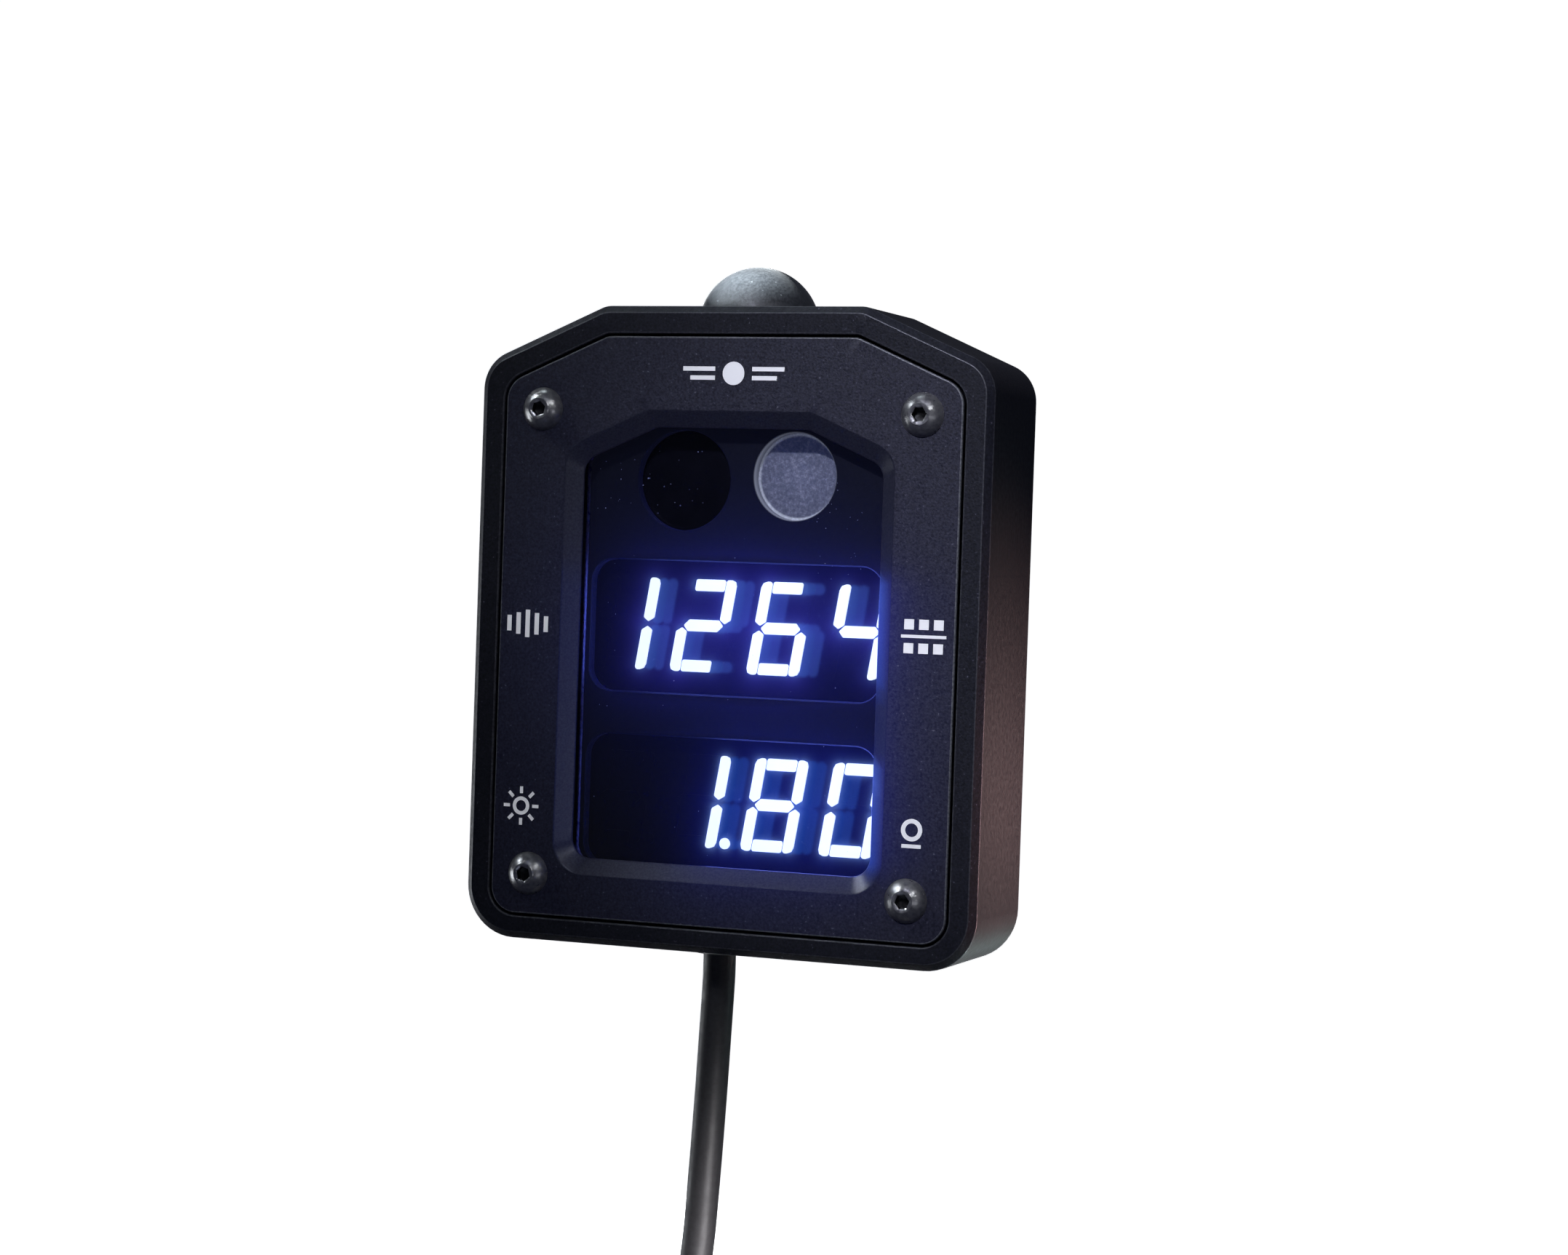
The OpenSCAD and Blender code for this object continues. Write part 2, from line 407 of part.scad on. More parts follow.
// ---------- printed marks: plain picture signs, no lettering ----------
mk = 0.06;
module mk_box(x0, x1, z0, z1) ybox(x0, x1, -mk, 0, z0, z1);
module mk_ring(x, z, r0, r1) difference() { ycyl(x, z, r1, -mk, 0); ycyl(x, z, r0, -1, 1); }
module printed_marks() color([0.9, 0.9, 0.9]) {
  // upper channel sign: five upright rays, the middle one tallest
  for (i = [-2:2]) mk_box(-32.2 + i*1.55 - 0.36, -32.2 + i*1.55 + 0.36, -0.15 - (2.1 - abs(i)*0.45), -0.15 + (2.1 - abs(i)*0.45));
  // lower channel sign: small sun
  mk_ring(-32.3, -28.15, 0.85, 1.4);
  for (a = [0:45:315]) translate([-32.3, 0, -28.15]) rotate([0, a, 0]) mk_box(1.9, 2.95, -0.25, 0.25);
  // upper unit sign: squares over and under a line
  for (i = [-1, 0, 1]) { mk_box(32.1 + i*2.3 - 0.75, 32.1 + i*2.3 + 0.75, 1.35, 2.85); mk_box(32.1 + i*2.3 - 0.75, 32.1 + i*2.3 + 0.75, -2.15, -0.65); }
  mk_box(28.6, 35.6, 0.12, 0.58);
  // lower unit sign: ring and bar
  mk_ring(31.3, -28.0, 1.0, 1.65);
  mk_box(29.8, 32.8, -30.65, -30.1);
  // sign at the top: a dot between two pairs of bars
  ycyl(0.6, 38.5, 1.75, -mk, 0);
  for (i = [-1, 1]) { mk_box(0.6 + i*5.6 - 2.6, 0.6 + i*5.6 + 2.6, 38.85, 39.5); mk_box(0.6 + i*5.0 - 2.0, 0.6 + i*5.0 + 2.0, 37.5, 38.15); }
}

// ---------- cord, stored coil and plug ----------
coil_x = 8;
coil_y = -11.4;
coil_z = -165;
// route points of the visible lead, then round to the outside of the coil
lead_route = [[-3, -11, -49.65], [-3, -11, -54], [-3.3, -11, -62], [-3.7, -11, -72], [-4.3, -11, -84], [-5, -11, -95],
  [-6.4, -11.1, -104], [-9.8, -11.4, -114], [-14.6, -11.6, -124], [-19, -11.8, -134], [-22.4, -11.9, -144], [-23.9, -11.9, -154], [-24, -11.9, -160]];
tail_route = [[-14, -23.9, -165], [-14, -24.1, -174], [-14, -24.1, -184], [-14, -24, -194], [-14, -24, -201.95]];
module cord_lead() color([0.12, 0.12, 0.12]) tube(smooth_route(lead_route, 3), cord_d/2, 12);
module cord_tail() color([0.12, 0.12, 0.12]) tube(smooth_route(tail_route, 2), cord_d/2, 12);
module cord_coil() color([0.12, 0.12, 0.12]) translate([coil_x, coil_y, coil_z]) rotate([90, 0, 0])
  rotate_extrude() translate([coil_r - 7.5, -10]) square([15, 20]);
module coil_tie() color([0.05, 0.05, 0.05]) difference() {
  translate([coil_x + coil_r - 9.6, coil_y - 11.2, coil_z - 6]) cube([18.4, 22.4, 12]);
  translate([coil_x + coil_r - 8.6, coil_y - 10.05, coil_z - 8]) cube([16.3, 20.1, 16]);
}
px = -14; py = -24; pz = -202;
module plug_relief() color([0.07, 0.07, 0.07]) translate([px, py, pz - 10]) difference() {
  cylinder(r1 = 3.9, r2 = 3.1, h = 10);
  for (i = [0:3]) translate([0, 0, 1.2 + i*2.1]) difference() { cylinder(r = 6, h = 0.9); translate([0, 0, -1]) cylinder(r = 2.9, h = 3); }
}
module plug_body() color([0.07, 0.07, 0.07]) translate([px, py, pz - 28]) { translate([0, 0, 1]) cylinder(r = 4.75, h = 15.6); cylinder(r1 = 4.2, r2 = 4.75, h = 1.01); translate([0, 0, 16.59]) cylinder(r1 = 4.75, r2 = 3.9, h = 1.41); }
module plug_barrel() color([0.8, 0.8, 0.78]) translate([px, py, pz - 37.5]) difference() { cylinder(r = 2.75, h = 9.5); translate([0, 0, -1]) cylinder(r = 2.2, h = 9.5); }
module plug_core() color([0.1, 0.1, 0.1]) translate([px, py, pz - 37.2]) difference() { cylinder(r = 2.15, h = 8.1); translate([0, 0, -1]) cylinder(r = 1.05, h = 8); }

housing();
bezel_plate();
bezel_screws();
bezel_gasket();
window_pane();
window_gasket();
mask_panel();
mask_screws();
uv_filter();
vis_diffuser();
sensor_holder();
uv_photodiode();
vis_photodiode();
sensor_board();
sensor_screws();
sensor_header();
upper_display_case();
lower_display_case();
upper_lit_segments();
lower_lit_segments();
unlit_segments();
display_pins();
main_board();
microcontroller();
display_drivers();
voltage_regulator();
capacitors();
board_standoffs();
board_screws();
power_connector();
internal_leads();
cord_bushing();
cord_clamp();
cord_entry();
switch_body();
switch_bushing();
switch_nut();
switch_pins();
return_spring();
rear_cover();
rear_gasket();
rear_cover_screws();
printed_marks();
button_cap();
button_plunger();
cord_lead();
cord_coil();
coil_tie();
cord_tail();
plug_relief();
plug_body();
plug_barrel();
plug_core();
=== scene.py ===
import bpy, bmesh, math, random
import numpy as np
from mathutils import Vector, Matrix
from mathutils.geometry import delaunay_2d_cdt


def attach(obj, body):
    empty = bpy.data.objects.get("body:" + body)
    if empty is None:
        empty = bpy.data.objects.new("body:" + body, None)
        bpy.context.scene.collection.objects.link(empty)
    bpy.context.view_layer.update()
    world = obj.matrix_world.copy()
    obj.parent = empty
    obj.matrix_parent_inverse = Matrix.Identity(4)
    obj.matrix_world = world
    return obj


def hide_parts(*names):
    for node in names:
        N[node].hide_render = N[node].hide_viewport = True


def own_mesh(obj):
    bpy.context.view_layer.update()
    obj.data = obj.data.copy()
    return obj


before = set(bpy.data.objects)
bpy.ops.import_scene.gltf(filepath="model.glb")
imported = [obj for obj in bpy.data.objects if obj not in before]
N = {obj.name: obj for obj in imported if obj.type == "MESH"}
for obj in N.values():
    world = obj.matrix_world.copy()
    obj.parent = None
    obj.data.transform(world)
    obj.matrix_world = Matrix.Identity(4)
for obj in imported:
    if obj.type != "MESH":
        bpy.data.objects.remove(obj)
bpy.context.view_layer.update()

scene = bpy.context.scene
random.seed(7)

# ------------------------------------------------------------------ view
cam_data = bpy.data.cameras.new("view")
cam = bpy.data.objects.new("view", cam_data)
scene.collection.objects.link(cam)
cam_data.sensor_fit = "HORIZONTAL"
cam_data.sensor_width = 36.0
cam_data.lens = 74.02
cam_data.clip_start, cam_data.clip_end = 0.02, 60
cam_data.dof.use_dof = False
R = Vector((0.92892, 0.36868, 0.03448)).normalized()
F = Vector((-0.36824, 0.92955, -0.01844)).normalized()
U = R.cross(F).normalized()
F = U.cross(R).normalized()
m = Matrix((R, U, -F)).transposed().to_4x4()
m.translation = Vector((0.18659, -0.46748, 0.00970))
cam.matrix_world = m
scene.camera = cam
scene.view_settings.view_transform = "Standard"
scene.view_settings.look = "None"
scene.cycles.use_denoising = True
scene.cycles.sample_clamp_indirect = 4.0
scene.cycles.blur_glossy = 0.5

# ------------------------------------------------------------------ sizes, in mm (the CAD model's)
D = 22.0
TOP_FLAT, DROP, BW, BH = 21.1, 8.9, 83.0, 97.3
SLEN = math.hypot(BW / 2 - TOP_FLAT, DROP)
SNX, SNZ = DROP / SLEN, (BW / 2 - TOP_FLAT) / SLEN
SLC = SNX * TOP_FLAT + SNZ * BH / 2
UV, VIS = (-9.0, 22.5), (9.1, 23.45)
UPPER_Z, LOWER_Z = 0.45, -26.35
SCREWS = [(-30.75, 32.75), (30.75, 32.75), (-30.75, -38.45), (30.75, -38.45)]
STAND = [(-29.2, 15), (29.2, 15), (-29.2, -20), (29.2, -20)]


def P(x, s, z):
    """Row-frame point from x, depth behind the front face, and height, all in mm."""
    return Vector((x / 1000, (s - D) / 1000, z / 1000))


def arc_corner(a, b, c, r, n):
    a, b, c = Vector(a), Vector(b), Vector(c)
    u, v = (a - b).normalized(), (c - b).normalized()
    ang = math.acos(max(-1, min(1, u.dot(v))))
    t = r / math.tan(ang / 2)
    p0, p1 = b + u * t, b + v * t
    cen = b + (u + v).normalized() * (r / math.sin(ang / 2))
    a0 = math.atan2(p0[1] - cen[1], p0[0] - cen[0])
    a1 = math.atan2(p1[1] - cen[1], p1[0] - cen[0])
    d = (a1 - a0 + 3 * math.pi) % (2 * math.pi) - math.pi
    return [(cen[0] + r * math.cos(a0 + d * i / n), cen[1] + r * math.sin(a0 + d * i / n)) for i in range(n + 1)]


def rpoly(pts, rad, n):
    out = []
    for i in range(len(pts)):
        out += arc_corner(pts[i - 1], pts[i], pts[(i + 1) % len(pts)], rad[i], n)
    return out


NA = 12


def house(side, top, bot, sl, rt, rs, rb, n=NA):
    flat = (SLC - sl - SNZ * top) / SNX
    zs = (SLC - sl - SNX * side) / SNZ
    return rpoly([(-flat, top), (-side, zs), (-side, bot), (side, bot), (side, zs), (flat, top)], [rt, rs, rb, rb, rs, rt], n)


def body_out(d):
    return house(BW / 2 - d, BH / 2 - d, -BH / 2 + d, d, 4, 6 - d, 8 - d)


def plate_out(g):
    return house(37 + g, 44 + g, -44.7 - g, 4.59 - g, 3, 4 + g, 4 + g)


def rrect(x0, z0, x1, z1, r, n=8):
    return rpoly([(x0, z1), (x0, z0), (x1, z0), (x1, z1)], [r] * 4, n)


def circle(x, z, r, n=64):
    return [(x + r * math.cos(2 * math.pi * i / n), z + r * math.sin(2 * math.pi * i / n)) for i in range(n)]


# ------------------------------------------------------------------ mesh helpers
def new_obj(name, bm, mats, body="meter", angle=32, weighted=True):
    bmesh.ops.remove_doubles(bm, verts=bm.verts, dist=1e-7)
    bmesh.ops.recalc_face_normals(bm, faces=bm.faces)
    for f in bm.faces:
        f.smooth = True
    for e in bm.edges:
        if len(e.link_faces) == 2:
            e.smooth = e.calc_face_angle(0) < math.radians(angle)
    me = bpy.data.meshes.new(name)
    bm.to_mesh(me)
    bm.free()
    for mt in (mats if isinstance(mats, (list, tuple)) else [mats]):
        me.materials.append(mt)
    o = bpy.data.objects.new(name, me)
    scene.collection.objects.link(o)
    if weighted:
        w = o.modifiers.new("wn", "WEIGHTED_NORMAL")
        w.keep_sharp = True
        w.weight = 90
    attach(o, body)
    return o


def loft(bm, rings, closed=False, cap=True, mat=0, mats=None):
    """Quads between rings of equal length; ring i to i+1 takes mats[i] when given."""
    vs = [[bm.verts.new(p) for p in r] for r in rings]
    n = len(vs[0])
    last = len(vs) if closed else len(vs) - 1
    for i in range(last):
        a, b = vs[i], vs[(i + 1) % len(vs)]
        for j in range(n):
            k = (j + 1) % n
            f = bm.faces.new((a[j], a[k], b[k], b[j]))
            f.material_index = mats[i] if mats else mat
    if cap and not closed:
        f = bm.faces.new(vs[0][::-1]); f.material_index = mats[0] if mats else mat
        f = bm.faces.new(vs[-1]); f.material_index = mats[-1] if mats else mat
    return vs


def ring(outline, s):
    return [P(x, s, z) for x, z in outline]


def lathe_z(bm, cx, cy, prof, n=64, mat=0, mats=None, closed=False):
    """prof: (radius, z) in mm about a vertical axis at (cx, cy) mm. A radius of 0 closes to a point."""
    rows = []
    for r, z in prof:
        if r < 1e-6:
            rows.append([bm.verts.new((cx / 1000, cy / 1000, z / 1000))])
        else:
            rows.append([bm.verts.new(((cx + r * math.cos(2 * math.pi * i / n)) / 1000, (cy + r * math.sin(2 * math.pi * i / n)) / 1000, z / 1000)) for i in range(n)])
    _rows(bm, rows, n, mat, mats, closed)


def lathe_y(bm, cx, cz, prof, n=64, mat=0, mats=None, closed=False):
    """prof: (radius, depth) in mm about the axis through x, z, along the depth."""
    rows = []
    for r, s in prof:
        if r < 1e-6:
            rows.append([bm.verts.new(P(cx, s, cz))])
        else:
            rows.append([bm.verts.new(P(cx + r * math.cos(2 * math.pi * i / n), s, cz + r * math.sin(2 * math.pi * i / n))) for i in range(n)])
    _rows(bm, rows, n, mat, mats, closed)


def _rows(bm, rows, n, mat, mats, closed):
    last = len(rows) if closed else len(rows) - 1
    for i in range(last):
        a, b = rows[i], rows[(i + 1) % len(rows)]
        mi = mats[i] if mats else mat
        for j in range(n):
            k = (j + 1) % n
            if len(a) == 1 and len(b) == 1:
                continue
            if len(a) == 1:
                f = bm.faces.new((a[0], b[k], b[j]))
            elif len(b) == 1:
                f = bm.faces.new((a[j], a[k], b[0]))
            else:
                f = bm.faces.new((a[j], a[k], b[k], b[j]))
            f.material_index = mi


def arc(cx, cy, r, a0, a1, n):
    return [(cx + r * math.cos(math.radians(a0 + (a1 - a0) * i / n)), cy + r * math.sin(math.radians(a0 + (a1 - a0) * i / n))) for i in range(n + 1)]


def cut(o, cutter_bms):
    """Boolean difference with closed cutters, applied."""
    for bm in cutter_bms:
        bmesh.ops.recalc_face_normals(bm, faces=bm.faces)
        me = bpy.data.meshes.new("cut")
        bm.to_mesh(me)
        bm.free()
        c = bpy.data.objects.new("cut", me)
        scene.collection.objects.link(c)
        md = o.modifiers.new("b", "BOOLEAN")
        md.object = c
        md.operation = "DIFFERENCE"
        md.solver = "EXACT"
        while o.modifiers[0] != md:
            o.modifiers.move(len(o.modifiers) - 1, 0)
        dg = bpy.context.evaluated_depsgraph_get()
        others = [x for x in o.modifiers if x != md]
        for x in others:
            x.show_viewport = False
        dg.update()
        ev = bpy.data.meshes.new_from_object(o.evaluated_get(dg))
        for x in others:
            x.show_viewport = True
        o.modifiers.remove(md)
        old = o.data
        o.data = ev
        bpy.data.meshes.remove(old)
        bpy.data.objects.remove(c)
    # sharp edges again after the cuts
    bm = bmesh.new()
    bm.from_mesh(o.data)
    bmesh.ops.remove_doubles(bm, verts=bm.verts, dist=1e-7)
    bmesh.ops.dissolve_degenerate(bm, dist=1e-7, edges=bm.edges)
    for f in bm.faces:
        f.smooth = True
    for e in bm.edges:
        if len(e.link_faces) == 2:
            e.smooth = e.calc_face_angle(0) < math.radians(32)
    bm.to_mesh(o.data)
    bm.free()
    return o


def cyl_z(cx, cy, r, z0, z1, n=64, cham0=0.0, cham1=0.0):
    bm = bmesh.new()
    lathe_z(bm, cx, cy, [(0, z0), (r, z0), (r, z1 - cham1), (r + cham1, z1), (0, z1)] if cham1 else [(0, z0), (r, z0), (r, z1), (0, z1)], n)
    return bm


def cyl_y(cx, cz, prof, n=48):
    bm = bmesh.new()
    lathe_y(bm, cx, cz, [(0, prof[0][1])] + prof + [(0, prof[-1][1])], n)
    return bm


# ------------------------------------------------------------------ materials
def node(nt, kind, **kw):
    n = nt.nodes.new(kind)
    for k, v in kw.items():
        setattr(n, k, v)
    return n


def base_mat(name):
    mt = bpy.data.materials.new(name)
    mt.use_nodes = True
    nt = mt.node_tree
    nt.nodes.clear()
    out = node(nt, "ShaderNodeOutputMaterial")
    b = node(nt, "ShaderNodeBsdfPrincipled")
    nt.links.new(b.outputs["BSDF"], out.inputs["Surface"])
    tc = node(nt, "ShaderNodeTexCoord")
    return mt, nt, b, out, tc


def noise(nt, tc, scale, detail=2.0, rough=0.5, dim=None):
    n = node(nt, "ShaderNodeTexNoise")
    n.inputs["Scale"].default_value = scale
    n.inputs["Detail"].default_value = detail
    n.inputs["Roughness"].default_value = rough
    nt.links.new(tc.outputs["Object"], n.inputs["Vector"])
    return n


def ramp(nt, src, stops):
    r = node(nt, "ShaderNodeValToRGB")
    els = r.color_ramp.elements
    while len(els) < len(stops):
        els.new(0.5)
    for e, (pos, col) in zip(els, stops):
        e.position = pos
        e.color = (*col, 1) if len(col) == 3 else col
    nt.links.new(src, r.inputs["Fac"])
    return r


def maprange(nt, src, a, b, c, d):
    r = node(nt, "ShaderNodeMapRange")
    for k, v in zip(("From Min", "From Max", "To Min", "To Max"), (a, b, c, d)):
        r.inputs[k].default_value = v
    nt.links.new(src, r.inputs["Value"])
    return r


def bump(nt, b, src, strength, dist):
    bp = node(nt, "ShaderNodeBump")
    bp.inputs["Strength"].default_value = strength
    bp.inputs["Distance"].default_value = dist
    nt.links.new(src, bp.inputs["Height"])
    nt.links.new(bp.outputs["Normal"], b.inputs["Normal"])
    return bp


def grainy(name, c0, c1, scale, r0, r1, metal=0.0, spec=0.5, bump_s=0.2, bump_d=2e-5, bump_scale=None, specks=None, speck_scale=1500, coat=0.0, coat_rough=0.2, sheen=0.0):
    """Two-tone fine grain, varying roughness, fine bump and optional rare specks."""
    mt, nt, b, out, tc = base_mat(name)
    n1 = noise(nt, tc, scale, 3.0, 0.6)
    rc = ramp(nt, n1.outputs["Fac"], [(0.32, c0), (0.68, c1)])
    col = rc.outputs["Color"]
    if specks:
        n3 = noise(nt, tc, speck_scale, 1.0, 0.4)
        r3 = ramp(nt, n3.outputs["Fac"], [(specks[0], (0, 0, 0)), (specks[0] + 0.04, (1, 1, 1))])
        mx = node(nt, "ShaderNodeMix", data_type="RGBA")
        mx.inputs["B"].default_value = (*specks[1], 1)
        nt.links.new(r3.outputs["Color"], mx.inputs["Factor"])
        nt.links.new(col, mx.inputs["A"])
        col = mx.outputs["Result"]
    nt.links.new(col, b.inputs["Base Color"])
    n2 = noise(nt, tc, scale * 0.5, 2.0)
    mr = maprange(nt, n2.outputs["Fac"], 0.3, 0.7, r0, r1)
    nt.links.new(mr.outputs["Result"], b.inputs["Roughness"])
    b.inputs["Metallic"].default_value = metal
    b.inputs["Specular IOR Level"].default_value = spec
    if coat:
        b.inputs["Coat Weight"].default_value = coat
        b.inputs["Coat Roughness"].default_value = coat_rough
    if sheen:
        b.inputs["Sheen Weight"].default_value = sheen
        b.inputs["Sheen Roughness"].default_value = 0.4
    nb = noise(nt, tc, bump_scale or scale * 1.5, 2.0)
    bump(nt, b, nb.outputs["Fac"], bump_s, bump_d)
    return mt


M = {}
# The lighter specks in the blasted and frame anodising stand for the blasted surface's sparkle: painted glints.
M["anod"] = grainy("anodised_blasted", (0.004, 0.0045, 0.009), (0.026, 0.027, 0.044), 2600, 0.44, 0.62, spec=0.5, bump_s=0.8, bump_d=5e-5, bump_scale=3400, specks=(0.75, (0.11, 0.11, 0.14)), speck_scale=2600)
M["frame"] = grainy("anodised_frame", (0.0025, 0.003, 0.006), (0.013, 0.014, 0.024), 2600, 0.44, 0.62, spec=0.30, bump_s=0.8, bump_d=5e-5, bump_scale=3400, specks=(0.75, (0.08, 0.08, 0.11)), speck_scale=2600)
# The two edge materials are lighter, part-metallic copies of the black anodising. They go on the edge breaks so these
# show as bright lines: painted highlights.
M["edge_body"] = grainy("anodised_body_edge_painted_highlight", (0.035, 0.037, 0.046), (0.080, 0.083, 0.095), 2600, 0.36, 0.50, metal=0.4, spec=0.5, bump_s=0.3, bump_d=1.5e-5)
M["edge"] = grainy("anodised_edge_painted_highlight", (0.12, 0.125, 0.14), (0.26, 0.27, 0.29), 2600, 0.28, 0.42, metal=0.5, spec=0.6, bump_s=0.3, bump_d=1.5e-5)
# The seal's lip is a lighter grey-violet copy of the black gasket rubber: painted highlight.
M["lip"] = grainy("seal_lip_painted_highlight", (0.10, 0.10, 0.13), (0.20, 0.19, 0.26), 1800, 0.25, 0.4, spec=0.6)
M["side"] = grainy("anodised_milled", (0.010, 0.010, 0.012), (0.020, 0.019, 0.021), 2600, 0.40, 0.55, spec=0.5, bump_s=0.35, bump_d=2e-5, bump_scale=3000)
M["rubber"] = grainy("dome_rubber", (0.016, 0.018, 0.021), (0.044, 0.048, 0.053), 2200, 0.40, 0.54, spec=0.55, bump_s=0.8, bump_d=4e-5, bump_scale=2600, specks=(0.74, (0.10, 0.11, 0.12)), speck_scale=1300, sheen=0.05)
M["cord"] = grainy("cord_jacket", (0.022, 0.021, 0.022), (0.034, 0.033, 0.035), 1500, 0.48, 0.62, spec=0.45, bump_s=0.35, bump_d=3e-5, bump_scale=1800)
M["screw"] = grainy("screw_steel", (0.27, 0.27, 0.28), (0.42, 0.42, 0.42), 1500, 0.27, 0.38, metal=0.86, spec=0.5, bump_s=0.25, bump_d=1.5e-5, bump_scale=1600)
# The socket material is a much darker copy of the screw steel, used for the hex sockets: painted shade in the recess.
M["socket"] = grainy("screw_socket_painted_shade", (0.02, 0.02, 0.02), (0.05, 0.05, 0.05), 1500, 0.3, 0.5, metal=1.0)
M["steel"] = grainy("plain_steel", (0.42, 0.42, 0.41), (0.60, 0.60, 0.58), 1800, 0.25, 0.38, metal=1.0)
M["nickel"] = grainy("nickel_plate", (0.55, 0.54, 0.50), (0.70, 0.69, 0.64), 1200, 0.14, 0.24, metal=1.0)
M["brass"] = grainy("turned_brass", (0.55, 0.40, 0.16), (0.70, 0.52, 0.24), 1600, 0.22, 0.34, metal=1.0)
M["gold"] = grainy("gold_can", (0.70, 0.48, 0.18), (0.85, 0.62, 0.28), 1600, 0.18, 0.28, metal=1.0)
M["plastic"] = grainy("moulded_black", (0.015, 0.015, 0.016), (0.026, 0.026, 0.027), 1800, 0.40, 0.52, spec=0.45, bump_s=0.35, bump_d=3e-5)
M["chip"] = grainy("chip_epoxy", (0.012, 0.012, 0.013), (0.03, 0.03, 0.03), 3000, 0.5, 0.65, spec=0.4)
M["gasket"] = grainy("gasket_rubber", (0.012, 0.012, 0.012), (0.022, 0.022, 0.022), 2400, 0.6, 0.75, spec=0.3)
M["board"] = grainy("solder_mask", (0.006, 0.06, 0.03), (0.012, 0.11, 0.05), 700, 0.28, 0.42, spec=0.5, coat=0.4)
M["cap"] = grainy("ceramic_cap", (0.28, 0.20, 0.11), (0.42, 0.31, 0.19), 2500, 0.4, 0.5)
M["nylon"] = grainy("nylon_white", (0.62, 0.60, 0.53), (0.74, 0.72, 0.65), 1400, 0.4, 0.5)
M["lead"] = grainy("lead_red", (0.25, 0.012, 0.010), (0.36, 0.02, 0.016), 1600, 0.4, 0.5)
M["tin"] = grainy("tinned_pin", (0.55, 0.55, 0.53), (0.68, 0.68, 0.66), 2400, 0.25, 0.35, metal=1.0)
M["print"] = grainy("screen_print_and_painted_glow", (0.86, 0.87, 0.88), (0.96, 0.96, 0.97), 2600, 0.5, 0.65, spec=0.35, bump_s=0.25, bump_d=1.5e-5)
# The print also glows faintly (emission 0.20): painted light that lifts the marks above what the lamps give them.
for n_ in M["print"].node_tree.nodes:
    if n_.type == "BSDF_PRINCIPLED":
        n_.inputs["Emission Color"].default_value = (0.95, 0.96, 1.0, 1)
        n_.inputs["Emission Strength"].default_value = 0.20
M["tie"] = grainy("tie_nylon", (0.012, 0.012, 0.012), (0.022, 0.022, 0.022), 1600, 0.3, 0.42, spec=0.5)
M["coverplate"] = grainy("rear_cover_anod", (0.009, 0.009, 0.011), (0.018, 0.018, 0.021), 3000, 0.42, 0.58, spec=0.5, bump_s=0.5, bump_d=2e-5, bump_scale=4000)
M["uv"] = grainy("filter_glass", (0.0026, 0.0026, 0.0050), (0.0045, 0.0042, 0.0080), 300, 0.16, 0.24, spec=0.45, bump_s=0.0, bump_d=1e-6)


def glow_mat(name, c0, c1, scale, r0, r1, spec=0.4, bump_s=0.2, **kw):
    """A dark surface with the readouts' scattered light on it, kept in the mesh's own colour attribute."""
    mt = grainy(name, c0, c1, scale, r0, r1, spec=spec, bump_s=bump_s, **kw)
    nt = mt.node_tree
    b = next(n for n in nt.nodes if n.type == "BSDF_PRINCIPLED")
    at = node(nt, "ShaderNodeAttribute")
    at.attribute_name = "glow"
    nt.links.new(at.outputs["Color"], b.inputs["Emission Color"])
    b.inputs["Emission Strength"].default_value = 1.0
    return mt


M["mask"] = glow_mat("mask_black", (0.0015, 0.002, 0.004), (0.0035, 0.004, 0.008), 2600, 0.5, 0.65, spec=0.12)
# The plate's lighter specks also stand for the blasted surface's sparkle: painted glints.
M["plate"] = glow_mat("anodised_plate", (0.0025, 0.0027, 0.007), (0.026, 0.0265, 0.045), 2600, 0.44, 0.62, spec=0.45, bump_s=0.8, bump_d=5e-5, bump_scale=3400, specks=(0.75, (0.11, 0.11, 0.14)), speck_scale=2600)
M["bevel"] = glow_mat("anodised_bevel", (0.021, 0.0225, 0.0315), (0.042, 0.045, 0.0585), 3200, 0.28, 0.38, spec=0.5, bump_s=0.12, metal=0.55, bump_d=1e-5, bump_scale=4200)
M["face"] = glow_mat("readout_face", (0.001, 0.001, 0.003), (0.002, 0.002, 0.006), 1500, 0.3, 0.4, spec=0.12, bump_s=0.05)

# frosted disc: fine white grain, with painted light: a lighter centre and a bright ring near the rim in its colour, and
# a faint blue glow with a rim ring that brightens towards the bottom
mt, nt, b, out, tc = base_mat("frosted_disc_with_painted_light")
n1 = noise(nt, tc, 1900, 4.0, 0.75)
rc = ramp(nt, n1.outputs["Fac"], [(0.30, (0.16, 0.17, 0.195)), (0.52, (0.31, 0.32, 0.35)), (0.72, (0.62, 0.635, 0.67))])
sub = node(nt, "ShaderNodeVectorMath", operation="SUBTRACT")
sub.inputs[1].default_value = (9.1e-3, -15.44e-3, 23.45e-3)
nt.links.new(tc.outputs["Object"], sub.inputs[0])
ln = node(nt, "ShaderNodeVectorMath", operation="LENGTH")
nt.links.new(sub.outputs["Vector"], ln.inputs[0])
rr_ = maprange(nt, ln.outputs["Value"], 0.0, 7.0e-3, 0.0, 1.0)
